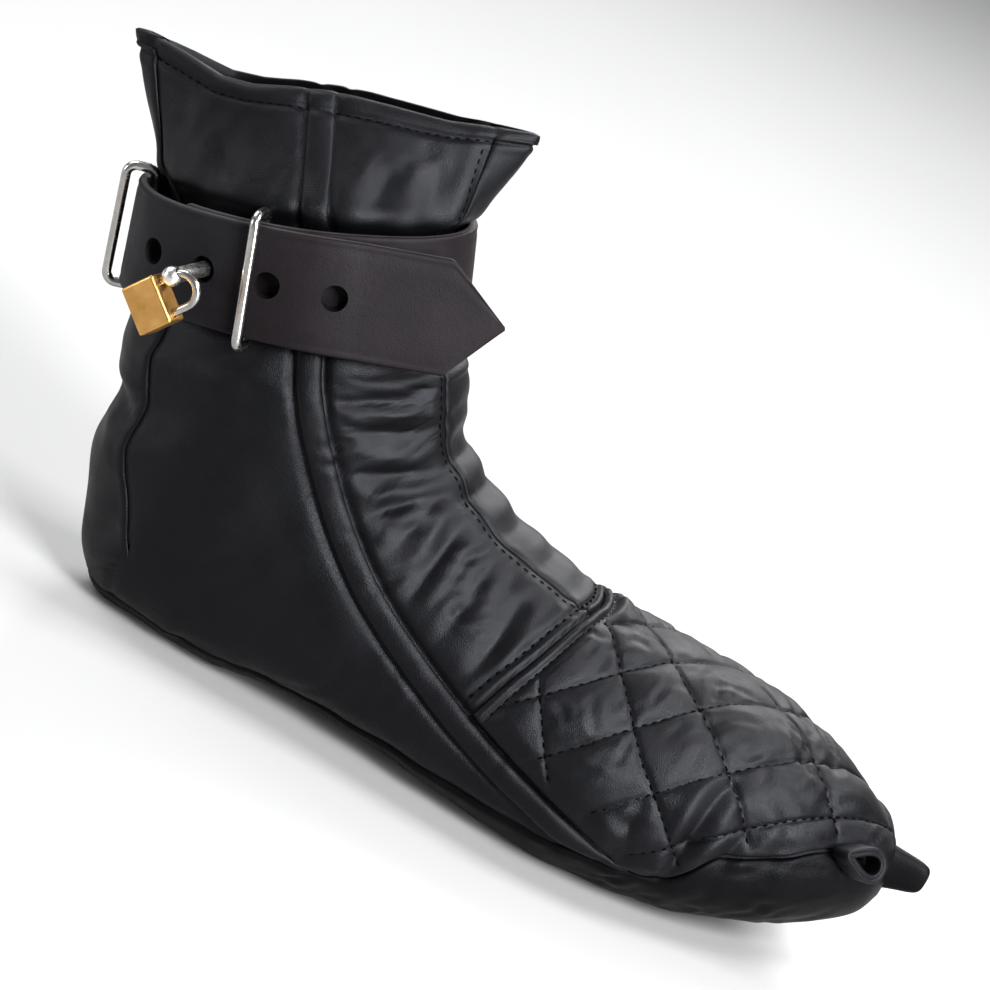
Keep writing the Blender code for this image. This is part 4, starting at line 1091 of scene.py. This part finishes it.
# Post and padlock
def build_post():
    here, ahead, up, out = strap_frame(POST_SHARE)
    back = float(np.dot(strap_frame(POST_SHARE, 1)[0] - here, out))
    reach = STRAP_THICK + POST_REACH
    profile = [(back - 1.9, 4), (back - 1.6, 4.3), (back - 1.1, 4.4), (back - 0.45, 4.4)]
    profile += [(back - 0.44, POST_RADIUS), (STRAP_THICK + 1, POST_RADIUS)]
    profile += [(reach - 5, POST_RADIUS), (reach - 4, POST_RADIUS - 0.35)]
    for angle in range(-52, 81, 11):
        a = math.radians(angle)
        profile.append((reach + EYE_RADIUS * math.sin(a), EYE_RADIUS * math.cos(a)))
    eye = here + out * reach
    turn = math.radians(LOCK_TURN)
    lock_ahead = ahead * math.cos(turn) + up * math.sin(turn)
    lock_up = up * math.cos(turn) - ahead * math.sin(turn)
    hole = (eye - lock_ahead * 6, eye + lock_ahead * 6, EYE_HOLE)
    mesh = cut_holes(lathe_mesh(profile, here, out, 40), [hole])
    # The stud takes the lighter copy of the steel, which is painted light.
    finished("lock_post_stud", mesh, STUD_STEEL_PAINTED_LIGHT, ["lock_post"], 32)
    return eye, lock_ahead, lock_up, out


def build_padlock(eye, ahead, up, out):
    low_leg = eye - up * SHACKLE_SPACING
    leg_ends = (LOCK_START + 4, LOCK_START, 1, -1.5)
    middle = (eye + low_leg) / 2 + ahead * 1.5
    path = [eye - ahead * end for end in leg_ends]
    for step in range(1, 24):
        angle = math.radians(90 - step * 7.5)
        side = up * SHACKLE_SPACING / 2 * math.sin(angle)
        path.append(middle + side + ahead * SHACKLE_REACH * math.cos(angle))
    path += [low_leg - ahead * end for end in leg_ends[::-1]]
    bow = tube_mesh(path, SHACKLE_WIRE / 2, 24, False)
    finished("padlock_bow", bow, STEEL, ["padlock_shackle"], body="padlock")
    centre = (eye + low_leg) / 2 - ahead * (LOCK_START + LOCK_LONG / 2)
    case = bmesh.new()
    bmesh.ops.create_cube(case, size=1.0)
    for vert in case.verts:
        x, y, z = vert.co
        moved = centre + ahead * x * LOCK_LONG + up * y * LOCK_HIGH + out * z * LOCK_THICK
        vert.co = tuple(moved * MM)
    bmesh.ops.recalc_face_normals(case, faces=case.faces)
    bmesh.ops.bevel(case, geom=list(case.edges), offset=1.0 * MM, segments=5, affect="EDGES", profile=0.6)
    wide = [face for face in case.faces if face.calc_area() > 20 * MM * MM]
    bmesh.ops.inset_individual(case, faces=wide, thickness=0.25 * MM)
    bmesh.ops.recalc_face_normals(case, faces=case.faces)
    mesh = bpy.data.meshes.new("case")
    case.to_mesh(mesh)
    case.free()
    foot = centre - ahead * LOCK_LONG / 2
    holes = [(leg - ahead * (LOCK_START + 4.2), leg - ahead * (LOCK_START - 2), SHACKLE_WIRE + 0.3)
             for leg in (eye, low_leg)]
    holes.append((foot - ahead, foot + ahead * 0.6, 5.6))
    finished("padlock_case", cut_holes(mesh, holes), BRASS, ["padlock_body"], 35, "padlock")
    plug = lathe_mesh(((0.05, 2.55), (0.55, 2.6), (0.62, 0.2)), foot + ahead * 0.65, -ahead, 32)
    slot_holes = [(foot - ahead * 0.6 + up * shift, foot + ahead * 0.45 + up * shift, 0.7)
                  for shift in (-0.9, -0.45, 0, 0.45, 0.9)]
    finished("padlock_plug", cut_holes(plug, slot_holes), BRASS, [], 30, "padlock")


# Toe loops
def band_mesh(path, wide, thick):
    """A closed band with rounded edges: path is its middle line, wide the direction across it."""
    flat = unit(wide)
    half = np.linalg.norm(wide) / 2
    run = np.roll(path, -1, axis=0) - np.roll(path, 1, axis=0)
    out = np.cross(unit(run - np.outer(run @ flat, flat)), flat)
    ring = rounded_box(thick / 2, half, min(thick / 2, 0.75), 4)
    ring += [(-0.4, half), (0, half - 0.8), (0.4, half)]
    points = [[here + way * a + flat * b for a, b in ring] for here, way in zip(path, out)]
    return loft(points + points[:1], True)


def build_toe_loops():
    place, turn = np.array(24.0), np.array(-0.36)
    ahead, down, out = directions(place, turn)
    forward = unit(-ahead)
    rise = unit(np.cross(out, forward))
    if rise[2] < 0:
        rise = -rise
    a, b = squared_circle(72, 2 / 1.9)
    centre = around(place, turn) + out * 5.4 + forward * 1.5
    path = centre + np.outer(a, forward) * 7.7 + np.outer(b * (1 + 0.62 * a), rise) * 3.9
    finished("side_loop", band_mesh(path, out * 8, 3), NAPPA, ["toe_loop_side"])
    at = np.linspace(0, len(TIP_TAB) - 1, 64)
    x, z, high, wide = curve(np.arange(len(TIP_TAB)), TIP_TAB, at).T[..., None]
    a, b = squared_circle(40, 0.75)
    points = np.stack(np.broadcast_arrays(x, wide * b, z + high * a), axis=-1)
    finished("tip_loop", loft(points), SOLE_SKIN, ["toe_loop_tip"], 60)


# Stitches
def stitch_mesh(rows, length, gap, radius):
    """Short threads along lines of points: each row is points and outward normals."""
    sides, rings = 6, 5
    cos, sin = (values[None, :, None] for values in circle(sides))
    bow = np.sin(np.linspace(0, math.pi, rings))
    thick = (radius * (0.35 + 0.65 * bow ** 0.5))[:, None, None]
    rise = (radius * (-0.9 + 1.15 * bow ** 0.6))[:, None]
    points = []
    faces = []
    for line, normals in rows:
        run = running(line)
        for k in range(int(run[-1] // (length + gap))):
            at = k * (length + gap) + gap / 2 + np.linspace(0, 1, rings) * length
            centre, up = (np.stack([np.interp(at, run, source[:, axis]) for axis in range(3)], axis=1)
                          for source in (line, normals))
            up = unit(up)
            side = np.cross(up, unit(centre[-1] - centre[0]))
            base = len(points) * rings * sides
            ring = (centre + up * rise)[:, None, :] + thick * (cos * up[:, None, :] + sin * side[:, None, :])
            points.append(ring.reshape(-1, 3))
            faces += grid_faces(rings, sides, base, round_columns=True)
            faces.append(tuple(base + s for s in range(sides)))
            faces.append(tuple(base + (rings - 1) * sides + s for s in range(sides)))
    return mesh_from(np.concatenate(points), faces)


def stitched(name, lines, sizes):
    """Stitches on the boot: lines are rows of place, turn, grow and extra height."""
    rows = [(placed(*line), directions(*line[:2])[2]) for line in lines]
    finished(name, stitch_mesh(rows, *sizes), THREAD, [])


def quilt_stitches():
    lines = []
    place = np.linspace(5, 165, 400)
    downs = [value - place - QUILT_BEND * np.maximum(0, QUILT_BEND_PLACE - place) for value in QUILT_A]
    downs += [place - value for value in QUILT_B]
    for down in downs:
        turn = -down / girth(place)
        inside = np.abs(turn) < cap_limit(place) - 4 / girth(place)
        inside &= (cap_past(place, turn) < -6) & (place > 10)
        breaks = np.flatnonzero(np.diff(inside.astype(int)) != 0) + 1
        for piece in np.split(np.arange(len(place)), breaks):
            if inside[piece[0]] and len(piece) > 8:
                p, t = place[piece], turn[piece]
                lines.append((p, t, 0.3, cap_height(p, t)))
    stitched("quilt_stitches", lines, QUILT_STITCH)


def panel_stitches():
    rear = CAP_REAR_PLACES[4:-4]
    turn = CAP_REAR_TURNS[4:-4]
    on_strip = step_up(smooth(INSTEP_STRIP, rear) - np.abs(turn) * girth(rear), -1, 0.5)
    behind = (rear + 5.1, turn, 0, upper_extra(rear + 5.1, turn) + 0.2 + 0.4 * on_strip)
    stitched("cap_seam_stitches", [behind], CAP_STITCH)
    lines = [(rear - 5, turn, 0.3, cap_height(rear - 5, turn) - 0.2)]
    places = np.linspace(160, 474, 420)
    for side in (-1, 1):
        t = side * (smooth(INSTEP_STRIP, places) + 2.4) / girth(places)
        lines.append((places, t, 0, upper_extra(places, t)))
    t = np.linspace(-1, 1, 500)
    p = np.full(500, LAST - 7.2)
    lines.append((p, t, 0, upper_extra(p, t) + 0.15))
    stitched("panel_stitches", lines, PANEL_STITCH)


build_upper()
build_lining()
build_sole()
build_insole()
build_toe_cap()
build_side_strip("side_piping_right", "side_strip_right", -1)
build_side_strip("side_piping_left", "side_strip_left", 1)
instep_places = np.linspace(150.1, LAST - 4, 380)
heel_places = np.linspace(HEEL_END + 0.4, LAST - 4, 190)
build_centre_strip("instep_panel", "instep_strip", INSTEP_STRIP, instep_places, 0, 15, 0.55)
build_centre_strip("heel_counter", "heel_panel", HEEL_PANEL, heel_places, 1, 22, 0.9)
build_strap()
build_rings()
build_padlock(*build_post())
build_toe_loops()
quilt_stitches()
panel_stitches()


# Floor, light and camera
floor_mesh = bpy.data.meshes.new("floor")
floor_mesh.from_pydata([(-6, -6, 0), (6, -6, 0), (6, 6, 0), (-6, 6, 0)], [], [(0, 1, 2, 3)])
floor = linked("floor", floor_mesh)
floor_nodes = Nodes("pale_floor")
floor_colour = floor_nodes.colours(floor_nodes.noise(3, 2), 0.3, [0.245] * 3, 0.7, [0.255] * 3)
floor_mesh.materials.append(floor_nodes.shade({"Base Color": floor_colour, "Roughness": 0.6}))

world = bpy.data.worlds.new("studio")
world.use_nodes = True
world.node_tree.nodes["Background"].inputs["Color"].default_value = (0.95, 0.97, 1, 1)
world.node_tree.nodes["Background"].inputs["Strength"].default_value = 0.30
bpy.context.scene.world = world
bpy.context.scene.view_settings.view_transform = "Standard"


def aimed(right, up, back, place):
    """Matrix of a light or camera from its directions and place."""
    return Matrix(np.stack([right, up, back, place], axis=1).tolist() + [[0, 0, 0, 1]])


for light_name, light_place, light_aim, light_size, light_power in LIGHTS:
    light = bpy.data.lights.new(light_name, "AREA")
    light.size = light_size
    light.energy = light_power
    back = unit(np.array(light_place) - np.array(light_aim))
    right = unit(np.cross((0, 0, 1), back))
    linked(light_name, light).matrix_world = aimed(right, np.cross(back, right), back, light_place)

height = math.radians(CAMERA_HEIGHT)
roll = math.radians(CAMERA_ROLL)
across = np.array([1.0, 0.0, 0.0])
back = np.array([0, -math.cos(height), math.sin(height)])
level_up = np.array([0, math.sin(height), math.cos(height)])
right = across * math.cos(roll) + level_up * math.sin(roll)
up = level_up * math.cos(roll) - across * math.sin(roll)
camera_data = bpy.data.cameras.new("camera")
camera_data.lens = CAMERA_LENS
camera_data.sensor_width = 36
camera = linked("camera", camera_data)
camera.matrix_world = aimed(right, up, back, (np.array(LOOK_AT) + back * CAMERA_FAR) * MM)
bpy.context.scene.camera = camera
